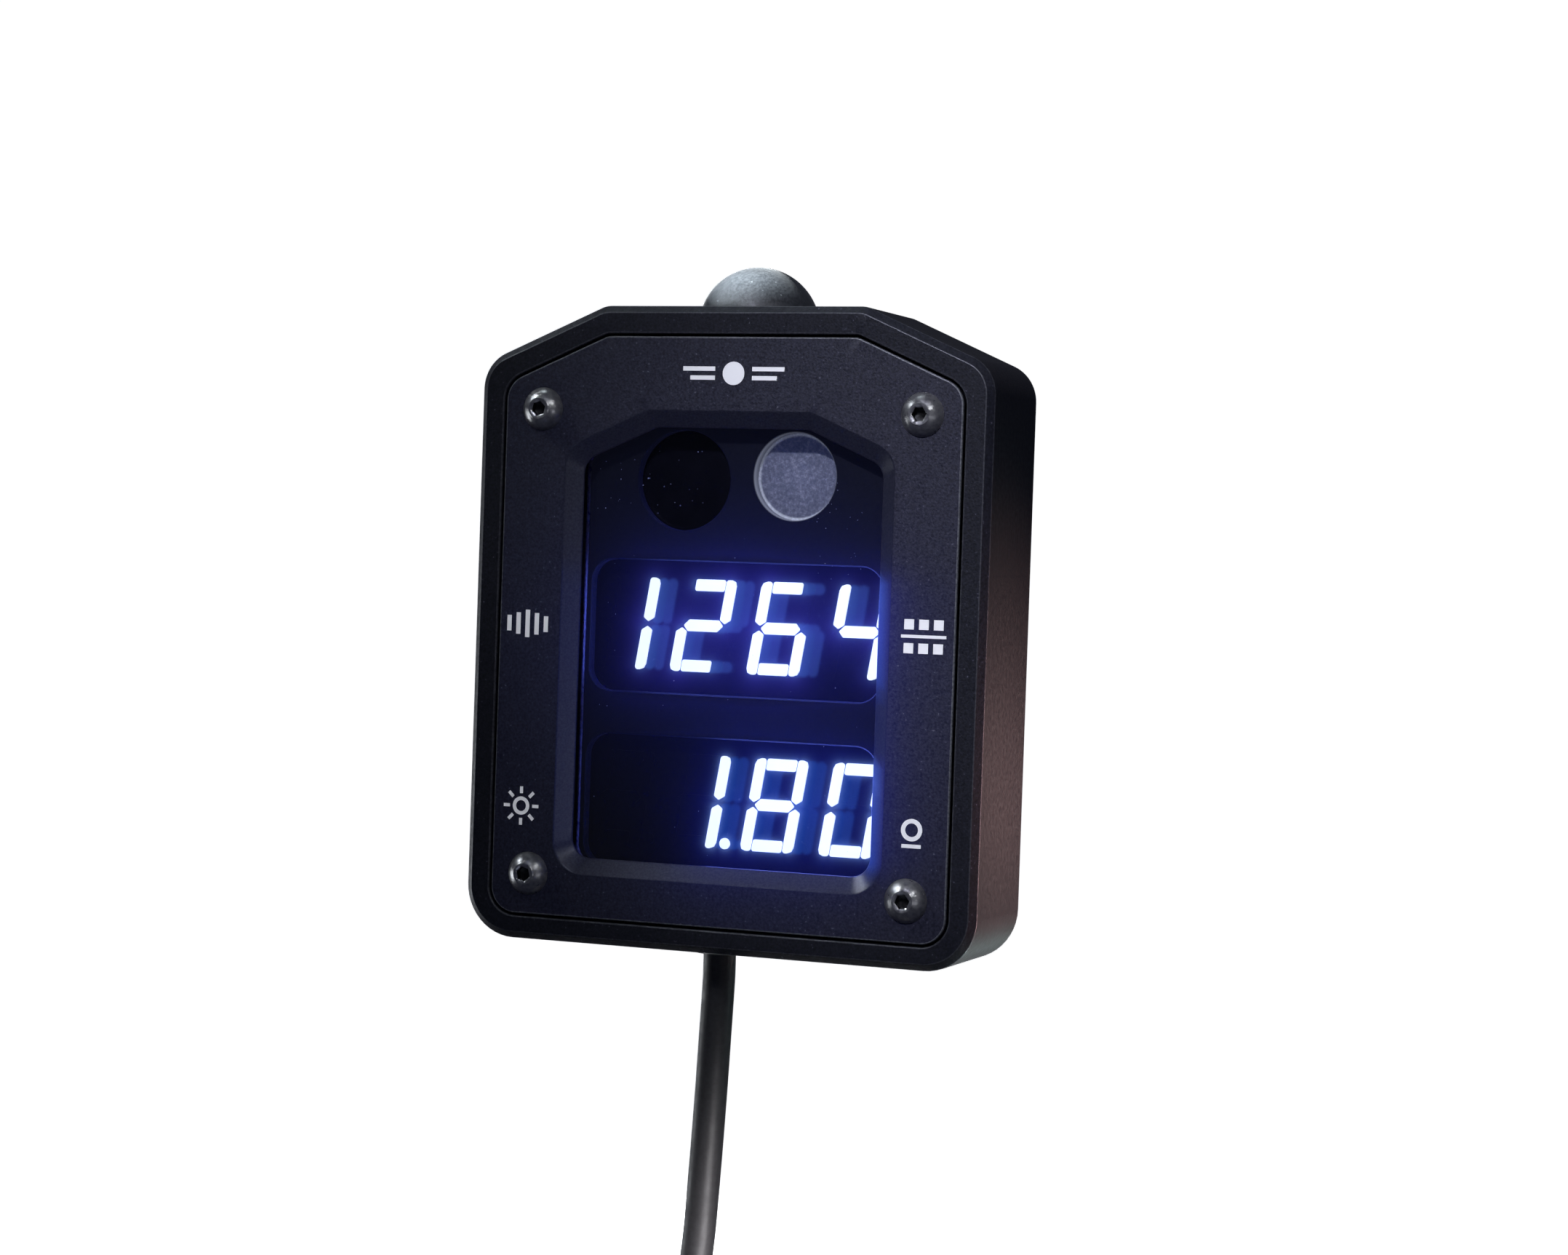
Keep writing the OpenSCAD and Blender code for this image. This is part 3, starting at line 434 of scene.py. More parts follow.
# painted light in the colour: lighter centre, a bright ring near the rim (painted highlight), darker at the very edge
rim = ramp(nt, rr_.outputs["Result"], [(0.0, (0.80, 0.80, 0.80)), (0.45, (0.60, 0.60, 0.60)), (0.875, (0.52, 0.52, 0.53)), (0.915, (1, 1, 1)), (0.95, (0.9, 0.9, 0.92)), (0.985, (0.35, 0.35, 0.38))])
mul = node(nt, "ShaderNodeMix", data_type="RGBA", blend_type="MULTIPLY")
mul.inputs["Factor"].default_value = 1.0
nt.links.new(rc.outputs["Color"], mul.inputs["A"])
nt.links.new(rim.outputs["Color"], mul.inputs["B"])
nt.links.new(mul.outputs["Result"], b.inputs["Base Color"])
sep = node(nt, "ShaderNodeSeparateXYZ")
nt.links.new(sub.outputs["Vector"], sep.inputs["Vector"])
# painted glow: faint blue over the disc, and a glowing rim ring that is stronger towards the bottom (painted highlight)
low = maprange(nt, sep.outputs["Z"], 6.0e-3, -6.5e-3, 0.22, 1.0)
ring_e = ramp(nt, rr_.outputs["Result"], [(0.0, (0.010, 0.013, 0.036)), (0.86, (0.012, 0.015, 0.040)), (0.895, (0.26, 0.28, 0.33)), (0.925, (0.30, 0.32, 0.37)), (0.955, (0.05, 0.055, 0.08))])
em = node(nt, "ShaderNodeMix", data_type="RGBA")
em.inputs["A"].default_value = (0.010, 0.013, 0.036, 1)
nt.links.new(low.outputs["Result"], em.inputs["Factor"])
nt.links.new(ring_e.outputs["Color"], em.inputs["B"])
nt.links.new(em.outputs["Result"], b.inputs["Emission Color"])
b.inputs["Emission Strength"].default_value = 1.0
b.inputs["Roughness"].default_value = 0.6
b.inputs["Specular IOR Level"].default_value = 0.4
n2 = noise(nt, tc, 3000, 3.0, 0.7)
bump(nt, b, n2.outputs["Fac"], 0.6, 5e-5)
M["frost"] = mt

# lit strokes
mt, nt, b, out, tc = base_mat("lit_stroke")
n1 = noise(nt, tc, 500, 1.0)
rc = ramp(nt, n1.outputs["Fac"], [(0.3, (0.82, 0.92, 1.0)), (0.7, (0.86, 0.95, 1.0))])
nt.links.new(rc.outputs["Color"], b.inputs["Emission Color"])
b.inputs["Base Color"].default_value = (0.5, 0.55, 0.7, 1)
b.inputs["Emission Strength"].default_value = 1.06
b.inputs["Roughness"].default_value = 0.5
M["lit"] = mt
M["unlit"] = grainy("unlit_stroke", (0.004, 0.005, 0.016), (0.006, 0.008, 0.024), 1500, 0.3, 0.4, spec=0.3)

# window pane: clear with a weak mirror reflection and dust
mt = bpy.data.materials.new("window_clear")
mt.use_nodes = True
nt = mt.node_tree
nt.nodes.clear()
out = node(nt, "ShaderNodeOutputMaterial")
tc = node(nt, "ShaderNodeTexCoord")
tr = node(nt, "ShaderNodeBsdfTransparent")
tr.inputs["Color"].default_value = (0.95, 0.96, 1.0, 1)
gl = node(nt, "ShaderNodeBsdfGlossy")
gl.inputs["Roughness"].default_value = 0.05
gl.inputs["Color"].default_value = (0.9, 0.93, 1.0, 1)
fr = node(nt, "ShaderNodeFresnel")
fr.inputs["IOR"].default_value = 1.35
mx = node(nt, "ShaderNodeMixShader")
nt.links.new(fr.outputs["Fac"], mx.inputs["Fac"])
nt.links.new(tr.outputs["BSDF"], mx.inputs[1])
nt.links.new(gl.outputs["BSDF"], mx.inputs[2])
nt.links.new(mx.outputs["Shader"], out.inputs["Surface"])
M["pane"] = mt
# Dust flecks: their blue tint and their glow, taken from the glow attribute, are painted light of the readouts rather
# than the dust's own colour.
mt, nt, b, out, tc = base_mat("dust_and_painted_glow")
n1 = noise(nt, tc, 900, 2.0)
rc = ramp(nt, n1.outputs["Fac"], [(0.35, (0.10, 0.13, 0.35)), (0.65, (0.32, 0.36, 0.60))])
nt.links.new(rc.outputs["Color"], b.inputs["Base Color"])
b.inputs["Roughness"].default_value = 0.7
at = node(nt, "ShaderNodeAttribute")
at.attribute_name = "glow"
nt.links.new(at.outputs["Color"], b.inputs["Emission Color"])
b.inputs["Emission Strength"].default_value = 1.0
M["dust_and_painted_glow"] = mt

for n_, k_ in {"bezel_gasket": "gasket", "rear_gasket": "gasket", "mask_screws": "steel", "sensor_holder": "plastic",
               "uv_photodiode": "gold", "vis_photodiode": "gold", "sensor_board": "board", "sensor_screws": "steel", "sensor_header": "plastic",
               "display_pins": "tin", "main_board": "board", "microcontroller": "chip", "display_drivers": "chip", "voltage_regulator": "chip",
               "capacitors": "cap", "board_standoffs": "brass", "board_screws": "steel", "power_connector": "nylon", "internal_leads": "lead",
               "cord_clamp": "steel", "cord_entry": "cord", "switch_body": "plastic", "switch_bushing": "nickel", "switch_nut": "nickel",
               "switch_pins": "tin", "button_plunger": "nickel", "printed_marks": "print"}.items():
    me = N[n_].data
    me.materials.clear()
    me.materials.append(M[k_])

# ------------------------------------------------------------------ cord, coil and plug
LEAD = [(-3, -11, -49.65), (-3, -11, -54), (-3.3, -11, -62), (-3.7, -11, -72), (-4.3, -11, -84), (-5, -11, -95), (-6.4, -11.1, -104),
        (-9.8, -11.4, -114), (-14.6, -11.6, -124), (-19, -11.8, -134), (-22.4, -11.9, -144), (-23.9, -11.9, -154), (-24, -11.9, -160)]
TAIL = [(-14, -24.1, -174), (-14, -24.1, -184), (-14, -24, -194), (-14, -24, -201.95)]


def catmull(pts, k):
    pts = [Vector(p) for p in pts]
    n = len(pts)
    out = []
    for i in range(n - 1):
        p0, p1, p2, p3 = pts[max(i - 1, 0)], pts[i], pts[i + 1], pts[min(i + 2, n - 1)]
        for j in range(k):
            t = j / k
            out.append(0.5 * ((2 * p1) + (p2 - p0) * t + (2 * p0 - 5 * p1 + 4 * p2 - p3) * t * t + (3 * p1 - p0 - 3 * p2 + p3) * t ** 3))
    out.append(pts[-1])
    return out


def smooth01(t):
    t = max(0, min(1, t))
    return t * t * (3 - 2 * t)


def coil_point(t):
    th = math.radians(180 + 360 * t)
    if t < 1.4:
        rho, y = 32, -0.5 - 5 * t
    elif t < 1.7:
        rho, y = 32 - 5 * smooth01((t - 1.4) / 0.3), -7.5
    elif t < 4.7:
        rho, y = 27, -7.5 + 5 * (t - 1.7)
    elif t < 5.0:
        rho, y = 27 - 5 * smooth01((t - 4.7) / 0.3), 7.5
    elif t < 7.7:
        rho, y = 22, 7.5 - 5 * (t - 5)
    else:
        rho, y = 22, -6 - 6.5 * smooth01((t - 7.7) / 0.3)
    return Vector((8 + rho * math.cos(th), -11.4 + y, -165 + rho * math.sin(th)))


coil_pts = [coil_point(i / 48) for i in range(0, 8 * 48 + 1)]
route = catmull(LEAD + [tuple(coil_pts[0])], 5)[:-1] + coil_pts + catmull([tuple(coil_pts[-1])] + TAIL, 5)[1:]
cd = bpy.data.curves.new("power_cord", "CURVE")
cd.dimensions = "3D"
cd.bevel_depth = 0.0025
cd.bevel_resolution = 6
cd.use_fill_caps = True
sp = cd.splines.new("POLY")
sp.points.add(len(route) - 1)
for p_, q_ in zip(sp.points, route):
    p_.co = (*(q_ / 1000), 1)
sp.use_smooth = True
cord = bpy.data.objects.new("power_cord", cd)
scene.collection.objects.link(cord)
cd.materials.append(M["cord"])
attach(cord, "meter")
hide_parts("cord_lead", "cord_coil", "cord_tail")

PX, PY, PZ = -14, -24, -202
bm = bmesh.new()
prof = [(2.55, PZ), (2.9, PZ), (3.1, PZ - 0.15)]
for i in range(4):
    z = PZ - 10 + 1.2 + (3 - i) * 2.1
    ro = lambda zz: 3.1 + (PZ - zz) * 0.08
    prof += [(ro(z + 0.9) - 0.08, z + 1.0), (2.95, z + 0.88), (2.95, z + 0.02), (ro(z) - 0.08, z - 0.1), (ro(z - 0.1), z - 0.2)]
prof += [(3.9, PZ - 10 + 0.1), (3.86, PZ - 10), (0, PZ - 10)]
lathe_z(bm, PX, PY, [(0, PZ)] + prof, 48)
relief = new_obj("plug_strain_relief", bm, M["cord"])
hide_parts("plug_relief")
bm = bmesh.new()
nz = 96
rows = []
for r, z, amp in [(3.6, 0, 0), (3.9, -0.25, 0), (4.72, -1.45, 0), (4.75, -1.9, 0), (4.75, -3.2, 0), (4.75, -3.6, 1), (4.75, -14.2, 1), (4.75, -14.6, 0), (4.75, -16.8, 0), (4.5, -17.5, 0), (4.25, -17.95, 0), (4.0, -18, 0)]:
    rows.append([bm.verts.new(((PX + (r - (0.28 * amp * max(0, math.cos(12 * 2 * math.pi * i / nz)) ** 2)) * math.cos(2 * math.pi * i / nz)) / 1000,
                               (PY + (r - (0.28 * amp * max(0, math.cos(12 * 2 * math.pi * i / nz)) ** 2)) * math.sin(2 * math.pi * i / nz)) / 1000, (PZ - 10 + z) / 1000)) for i in range(nz)])
rows = [[bm.verts.new((PX / 1000, PY / 1000, (PZ - 10) / 1000))]] + rows + [[bm.verts.new((PX / 1000, PY / 1000, (PZ - 28) / 1000))]]
_rows(bm, rows, nz, 0, None, False)
pbody = new_obj("plug_grip", bm, M["plastic"])
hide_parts("plug_body")
bm = bmesh.new()
z0, z1 = PZ - 28, PZ - 37.5
lathe_z(bm, PX, PY, [(0, z0), (2.75, z0), (2.75, z1 + 0.3), (2.66, z1 + 0.08), (2.5, z1), (2.3, z1), (2.22, z1 + 0.1), (2.2, z1 + 0.3), (2.2, z0 - 1.0), (0, z0 - 1.0)], 64)
pb = new_obj("plug_sleeve", bm, M["nickel"])
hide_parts("plug_barrel")
bm = bmesh.new()
c0_, c1_ = PZ - 29.1, PZ - 37.2
lathe_z(bm, PX, PY, [(0, c0_), (2.15, c0_), (2.15, c1_ + 0.15), (2.0, c1_), (1.3, c1_), (1.05, c1_ + 0.25), (1.05, c0_ - 1.1), (0, c0_ - 1.1)], 48)
pc = new_obj("plug_insulator", bm, M["plastic"])
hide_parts("plug_core")
# tie round the coil: a flat band with rounded corners and a buckle
bm = bmesh.new()
cx_, cy_ = 8 + 27 + (-9.6 + 9.2), -11.4
outer = rpoly([(25.4, -22.6), (43.8, -22.6), (43.8, -0.2), (25.4, -0.2)], [3.0] * 4, 8)
inner = rpoly([(26.5, -21.5), (42.6, -21.5), (42.6, -1.3), (26.5, -1.3)], [2.2] * 4, 8)


def flat_ring(o, z):
    return [Vector((x / 1000, y / 1000, z / 1000)) for x, y in o]


def shrink(o, k):
    cx = sum(p[0] for p in o) / len(o); cy = sum(p[1] for p in o) / len(o)
    return [(cx + (p[0] - cx) * (1 - k / 10), cy + (p[1] - cy) * (1 - k / 10)) for p in o]


loft(bm, [flat_ring(outer, -167.6), flat_ring(shrink(outer, 0.12), -167.8), flat_ring(shrink(inner, -0.1), -167.8), flat_ring(inner, -167.6), flat_ring(inner, -162.4),
          flat_ring(shrink(inner, -0.1), -162.2), flat_ring(shrink(outer, 0.12), -162.2), flat_ring(outer, -162.4)], closed=True)
bb = bmesh.ops.create_cube(bm, size=1.0)["verts"]
for v in bb:
    v.co = Vector((0.0345 + v.co.x * 0.0068, -0.02195 + v.co.y * 0.0022, -0.165 + v.co.z * 0.0074))
tie = new_obj("coil_tie_band", bm, M["tie"])
bv = tie.modifiers.new("bev", "BEVEL"); bv.width = 0.0003; bv.segments = 2; bv.limit_method = "ANGLE"; bv.angle_limit = math.radians(50)
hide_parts("coil_tie")

# ------------------------------------------------------------------ housing
c = 1.05
fil = [(c + 0.14, 0), (c + 0.06, 0.012), (c - 0.02, 0.05), (c - 0.10, 0.10)]
prof = [("plate", 0.66, 0), ("body", c + 0.14, 0), ("body", c + 0.05, 0.018), ("body", c - 0.05, 0.075), ("body", 0.10, c - 0.10), ("body", 0.022, c - 0.01), ("body", 0, c + 0.12),
        ("body", 0, D - c - 0.12), ("body", 0.022, D - c + 0.01), ("body", 0.10, D - c + 0.10), ("body", c - 0.05, D - 0.075), ("body", c + 0.05, D - 0.018), ("body", c + 0.14, D)]
# material 1, the lighter edge copy, on the front and groove edge breaks: painted highlight
mats_h = [0, 1, 1, 0, 1, 1, 2, 2, 2, 2, 2, 2]
rings = []
for kind, d_, s_ in prof:
    rings.append(ring(body_out(d_) if kind == "body" else plate_out(d_), s_))
rings += [ring(house(37.7, 44.8, -44.8, 3.8, 2, 4, 4), D), ring(house(37.5, 44.6, -44.6, 4.0, 2, 4, 4), D - 0.2), ring(house(37.5, 44.6, -44.6, 4.0, 2, 4, 4), D - 2.3),
          ring(house(33.5, 42.4, -43.2, 6.2, 2, 3, 3), D - 2.3), ring(house(33.5, 42.4, -43.2, 6.2, 2, 3, 3), 6.5), ring(house(35.5, 42.4, -43.2, 6.2, 2, 3, 3), 6.5),
          ring(house(35.5, 42.4, -43.2, 6.2, 2, 3, 3), 3.5), ring(plate_out(0.40), 3.5), ring(plate_out(0.40), 0.24), ring(plate_out(0.44), 0.11), ring(plate_out(0.53), 0.03)]
mats_h += [2, 2, 2, 0, 0, 0, 0, 0, 0, 1, 1, 1]
bm = bmesh.new()
loft(bm, rings, closed=True, mats=mats_h)
housing = new_obj("housing_shell", bm, [M["frame"], M["edge_body"], M["side"]])
cut(housing, [cyl_z(0, -11, 9.2, 45.65, 52, 96), cyl_z(0, -11, 4.1, 41, 47, 48), cyl_z(-3, -11, 4.0, -50, -40, 48)])
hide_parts("housing")
bm = bmesh.new()
for x, z in SCREWS:
    lathe_y(bm, x, z, [(1.75, 3.3), (1.9, 3.2), (4.0, 3.2), (4.0, 20.0), (1.6, 20.0), (1.45, 19.8), (1.45, 13), (1.75, 12)], 40, closed=True)
boss = new_obj("housing_bosses", bm, M["side"])

# ------------------------------------------------------------------ bezel plate
wo = lambda k: house(26.7 + k, 32.8 + k, -38.05 - k, 17.64 - k, 3, 4.6, 5)
wi = lambda k: house(24.3 + k, 30.35 + k, -35.65 - k, 20.3 - k, 3, 3, 3)


def mixo(a, b, t):
    return [(p[0] * (1 - t) + q[0] * t, p[1] * (1 - t) + q[1] * t) for p, q in zip(a, b)]


sides = [max(1, int(math.hypot(q[0] - p[0], q[1] - p[1]) / 2.2)) for p, q in zip(wo(0), wo(0)[1:] + wo(0)[:1])]


def dring(o, s):
    """Ring with extra points along the straight sides, so light on them can vary along their length."""
    out_ = []
    for i, k in enumerate(sides):
        a, b_ = o[i], o[(i + 1) % len(o)]
        out_ += [(a[0] + (b_[0] - a[0]) * j / k, a[1] + (b_[1] - a[1]) * j / k) for j in range(k)]
    return ring(out_, s)


rings = [dring(plate_out(0), 3.2), dring(plate_out(0), 0.30), dring(plate_out(-0.04), 0.14), dring(plate_out(-0.13), 0.03), dring(plate_out(-0.26), 0),
         dring(mixo(plate_out(-0.26), wo(0.14), 0.3), 0), dring(mixo(plate_out(-0.26), wo(0.14), 0.55), 0), dring(mixo(plate_out(-0.26), wo(0.14), 0.8), 0), dring(wo(0.14), 0), dring(wo(0.03), 0.03), dring(mixo(wo(0), wi(0), 0.06), 0.14), dring(mixo(wo(0), wi(0), 0.93), 1.70), dring(wi(0.04), 1.83), dring(wi(0), 1.93),
         dring(wi(0), 2.0), dring(house(27.1, 33.9, -39.2, 16.6, 3, 3, 3), 2.0), dring(house(27.1, 33.9, -39.2, 16.6, 3, 3, 3), 3.2)]
bm = bmesh.new()
# material 1, the lighter edge copy, on the plate's front edge break: painted highlight
loft(bm, rings, closed=True, mats=[3, 1, 1, 1, 0, 0, 0, 0, 2, 2, 2, 2, 2, 2, 3, 3, 3])
bezel = new_obj("bezel_frame", bm, [M["plate"], M["edge"], M["bevel"], M["frame"]])
cut(bezel, [cyl_y(x, z, [(1.95, -1), (1.95, 5)], 40) for x, z in SCREWS])
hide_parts("bezel_plate")

# button-head socket screws
bm = bmesh.new()
for i, (x, z) in enumerate(SCREWS):
    head = [(0, -1.85)]
    head = []
    Rs, sc = 3.637, 1.464
    # crown, from the flat round the socket outward
    head.append((1.62, -1.85 + 0.02))
    for k in range(0, 13):
        a = math.radians(28 + (66 - 28) * k / 12)
        head.append((Rs * math.sin(a), sc - Rs * math.cos(a)))
    head += [(3.325, -0.10), (3.30, 0.0)]
    rot = [0.3, 1.1, 0.75, 0.15][i]
    n = 60
    hexr = [1.155 / max(math.cos(((2 * math.pi * j / n + 1e-9) % (math.pi / 3)) - math.pi / 6) / math.cos(math.pi / 6), 1e-6) * 1.0 for j in range(n)]
    rows = []
    def row(fr, s):
        return [bm.verts.new(P(x + fr[j] * math.cos(2 * math.pi * j / n + rot), s, z + fr[j] * math.sin(2 * math.pi * j / n + rot))) for j in range(n)]
    rows.append([bm.verts.new(P(x, -0.55, z))])
    rows.append(row([h * 0.55 for h in hexr], -0.62))
    rows.append(row(hexr, -0.72))
    rows.append(row(hexr, -1.68))
    rows.append(row([h * 0.4 + 1.42 * 0.6 for h in hexr], -1.82))
    for r_, s_ in head[:-1]:
        rows.append(row([r_] * n, s_))
    rows.append(row([3.30] * n, 0.0))
    rows.append(row([1.70] * n, 0.0))
    rows.append(row([1.70] * n, 9.7))
    rows.append(row([1.4] * n, 10.0))
    rows.append([bm.verts.new(P(x, 10.0, z))])
    # the first three bands, the hex socket, take the darkened steel: painted shade
    _rows(bm, rows, n, 0, [1, 1, 1] + [0] * (len(rows) - 4), False)
scr = new_obj("bezel_socket_screws", bm, [M["screw"], M["socket"]])
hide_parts("bezel_screws")

# window pane
po = lambda k: house(26.9 - k, 33.7 - k, -39.0 + k, 16.8 + k, 3, 3, 3)
bm = bmesh.new()
loft(bm, [ring(po(0.12), 2.02), ring(po(0), 2.14), ring(po(0), 4.28), ring(po(0.12), 4.4)])
pane = new_obj("window_glass", bm, M["pane"], weighted=False)
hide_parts("window_pane")

# ------------------------------------------------------------------ readouts
HH, CW, SX, SL, G0 = 7.1, 0.85, 3.45, 0.16, 0.19


def slant(pts):
    return [(x + SL * z, z) for x, z in pts]


def stroke_pts(k):
    def up(sx, sz):
        pts = [(-CW, 0.95), (0, G0 + 0.18), (CW, 0.95), (CW, HH - 0.9), (CW - 0.25, HH - 0.25), (CW - 0.9, HH), (-CW, HH)]
        return [(sx * (SX + x), sz * z) for x, z in pts]

    def bar(z, d):
        return [(-SX + CW + G0, z), (SX - CW - G0, z), (SX - CW - G0, z - d * 1.8), (-SX + CW + G0, z - d * 1.8)]
    mid = [(-SX + 0.22, 0), (-SX + 1.05, 0.9), (SX - 1.05, 0.9), (SX - 0.22, 0), (SX - 1.05, -0.9), (-SX + 1.05, -0.9)]
    return slant([bar(HH, 1), up(1, 1), up(1, -1), bar(-HH, -1), up(-1, -1), up(-1, 1), mid][k])


def stroke_rad(k):
    if k in (0, 3):
        return [0.32] * 4
    if k == 6:
        return [0.25] * 6
    return [0.3, 0.12, 0.3, 0.35, 0.3, 0.3, 0.45]


UP = [[1, 2], [0, 1, 3, 4, 6], [0, 2, 3, 4, 5, 6], [1, 2, 5, 6]]
LOW = [[], [1, 2], [0, 1, 2, 3, 4, 5, 6], [0, 1, 2, 3, 4, 5]]
PITCH = 12.7


def centreline(k):
    a = {0: ((-2.2, 6.2), (2.2, 6.2)), 3: ((-2.2, -6.2), (2.2, -6.2)), 6: ((-2.6, 0), (2.6, 0)),
         1: ((SX, 0.9), (SX, 6.2)), 2: ((SX, -0.9), (SX, -6.2)), 4: ((-SX, -0.9), (-SX, -6.2)), 5: ((-SX, 0.9), (-SX, 6.2))}[k]
    return slant(a)


LIT = []
for d in range(4):
    for k in UP[d]:
        (a, b_) = centreline(k)
        LIT.append(((a[0] + (d - 1.5) * PITCH, a[1] + UPPER_Z), (b_[0] + (d - 1.5) * PITCH, b_[1] + UPPER_Z), 1.0))
    for k in LOW[d]:
        (a, b_) = centreline(k)
        LIT.append(((a[0] + (d - 1.5) * PITCH, a[1] + LOWER_Z), (b_[0] + (d - 1.5) * PITCH, b_[1] + LOWER_Z), 1.0))
LIT.append(((-0.5 * PITCH + 4.75, LOWER_Z - 6.25), (-0.5 * PITCH + 4.76, LOWER_Z - 6.25), 1.0))


def seg_dist(x, z, a, b_):
    dx, dz = b_[0] - a[0], b_[1] - a[1]
    l2 = max(dx * dx + dz * dz, 1e-9)
    t = np.clip(((x - a[0]) * dx + (z - a[1]) * dz) / l2, 0, 1)
    return np.hypot(x - a[0] - t * dx, z - a[1] - t * dz)


def step01(d, w):
    t = np.clip((d + w) / (2 * w), 0, 1)
    return 1 - t * t * (3 - 2 * t)


GLOW = ((UPPER_Z, ((0.016, 0.040, 0.055), (0.0128, 0.0105, 0.108), (0.0, 0.0, 0.0135), (0.0003, 0.0005, 0.0048), (0.0130, 0.0420, 0.150), (0.0140, 0.0330, 0.135))),
        (LOWER_Z, ((0.060, 0.105, 0.229), (0.0, 0.0, 0.033), (0.0008, 0.0014, 0.0200), (0.0, 0.0, 0.0), (0.0, 0.0233, 0.127), (0.0056, 0.0257, 0.124))))


def haze(x, z, near=True):
    """Light of the lit strokes scattered in the pane and on the dark parts behind it: a close halo, two
    wider ones, and the double images thrown to the right of each stroke."""
    x, z = np.asarray(x, float), np.asarray(z, float)
    out_ = np.zeros((len(x), 3))
    for zc, (c_near, c1, c2, c3, cg1, cg2) in GLOW:
        mine = [(a, b_) for a, b_, w_ in LIT if abs(a[1] - zc) < 9]
        nn = np.full(len(x), 1e9)
        s1 = np.zeros(len(x)); s2 = np.zeros(len(x)); s3 = np.zeros(len(x))
        g1 = np.full(len(x), 1e9); g2 = np.full(len(x), 1e9)
        for a, b_ in mine:
            d = np.maximum(seg_dist(x, z, a, b_) - 0.85, 0)
            nn = np.minimum(nn, d)
            s1 += np.exp(-d / 1.6); s2 += np.exp(-d / 4.0); s3 += np.exp(-d / 10.0)
            if near:
                g1 = np.minimum(g1, seg_dist(x - 1.45, z, a, b_) - 0.85)
                g2 = np.minimum(g2, seg_dist(x - 2.95, z, a, b_) - 0.85)
        e1, e2 = step01(g1, 0.22), step01(g2, 0.30)
        e2 = e2 * (1 - e1)
        for k in range(3):
            out_[:, k] += c_near[k] * np.exp(-nn / 0.45) + c1[k] * s1 + c2[k] * s2 + c3[k] * s3 + cg1[k] * e1 + cg2[k] * e2
    return out_


def veil(x, z, s):
    """Stray light in the pane over everything behind it."""
    return np.tile((0.0018, 0.0019, 0.0014), (len(x), 1))


def mask_light(x, z, s):
    """Stray light, and the wall of the diffuser's opening lit by the diffuser."""
    e = veil(x, z, s)
    dx, dz = x - VIS[0], z - VIS[1]
    wall = (np.hypot(dx, dz) < 6.65) & (s > 5.0)
    w_ = 0.30 + 0.70 * np.clip(0.45 - (0.5 * dx + 0.8 * dz) / 6.6 * 0.6, 0, 1)
    e[wall] += (np.where(s < 6, 1.0, 0.42) * w_)[wall, None] * np.array((0.20, 0.215, 0.26))
    return e


def frame_light(x, z, s):
    """Light of the digits on the window's slopes and on the face just right of them."""
    e = np.zeros((len(x), 3))
    band = step01(np.abs(z + 13.0) - 21.5, 3.0)
    dig = np.maximum(step01(np.abs(z - UPPER_Z) - 8.2, 1.4), step01(np.abs(z - LOWER_Z) - 8.0, 1.4))
    slope = (s > 0.02) & (s < 1.96)
    right, inner = slope & (x > 22), s > 1.5
    e[slope] += (0.003, 0.003, 0.006)
    e[right] += band[right, None] * np.array((0.001, 0.003, 0.040))
    e[right & inner] += dig[right & inner, None] * np.array((0.014, 0.038, 0.24))
    e[right & ~inner] += dig[right & ~inner, None] * np.array((0.004, 0.005, 0.060))
    left = slope & (x < -22)
    e[left] += band[left, None] * np.array((0.0, 0.001, 0.014))
    face = (s <= 0.02) & (x > 26)
    e[face] += (band * np.exp(-(x - 26.8) / 4.0))[face, None] * np.array((0.001, 0.002, 0.038))
    e[s <= 0.02] += (0.0, 0.0, 0.0012)
    return e


def paint(o, s_max, near=True, gain=1.0, rim=0, extra=None):
    """Store the haze in the mesh's own colour attribute, on the parts nearer the front than s_max."""
    me = o.data
    at = me.color_attributes.new(name="glow", type="FLOAT_COLOR", domain="POINT")
    co = np.array([v.co[:] for v in me.vertices])
    g = haze(co[:, 0] * 1000, co[:, 2] * 1000, near) * gain
    g[co[:, 1] * 1000 + D > s_max] = 0
    if rim:
        g[co[:, 1] * 1000 + D > 4.95] *= rim
    if extra:
        e = extra(co[:, 0] * 1000, co[:, 2] * 1000, co[:, 1] * 1000 + D)
        e[co[:, 1] * 1000 + D > s_max] = 0
        g += e
    at.data.foreach_set("color", np.hstack([g, np.ones((len(g), 1))]).ravel().tolist())


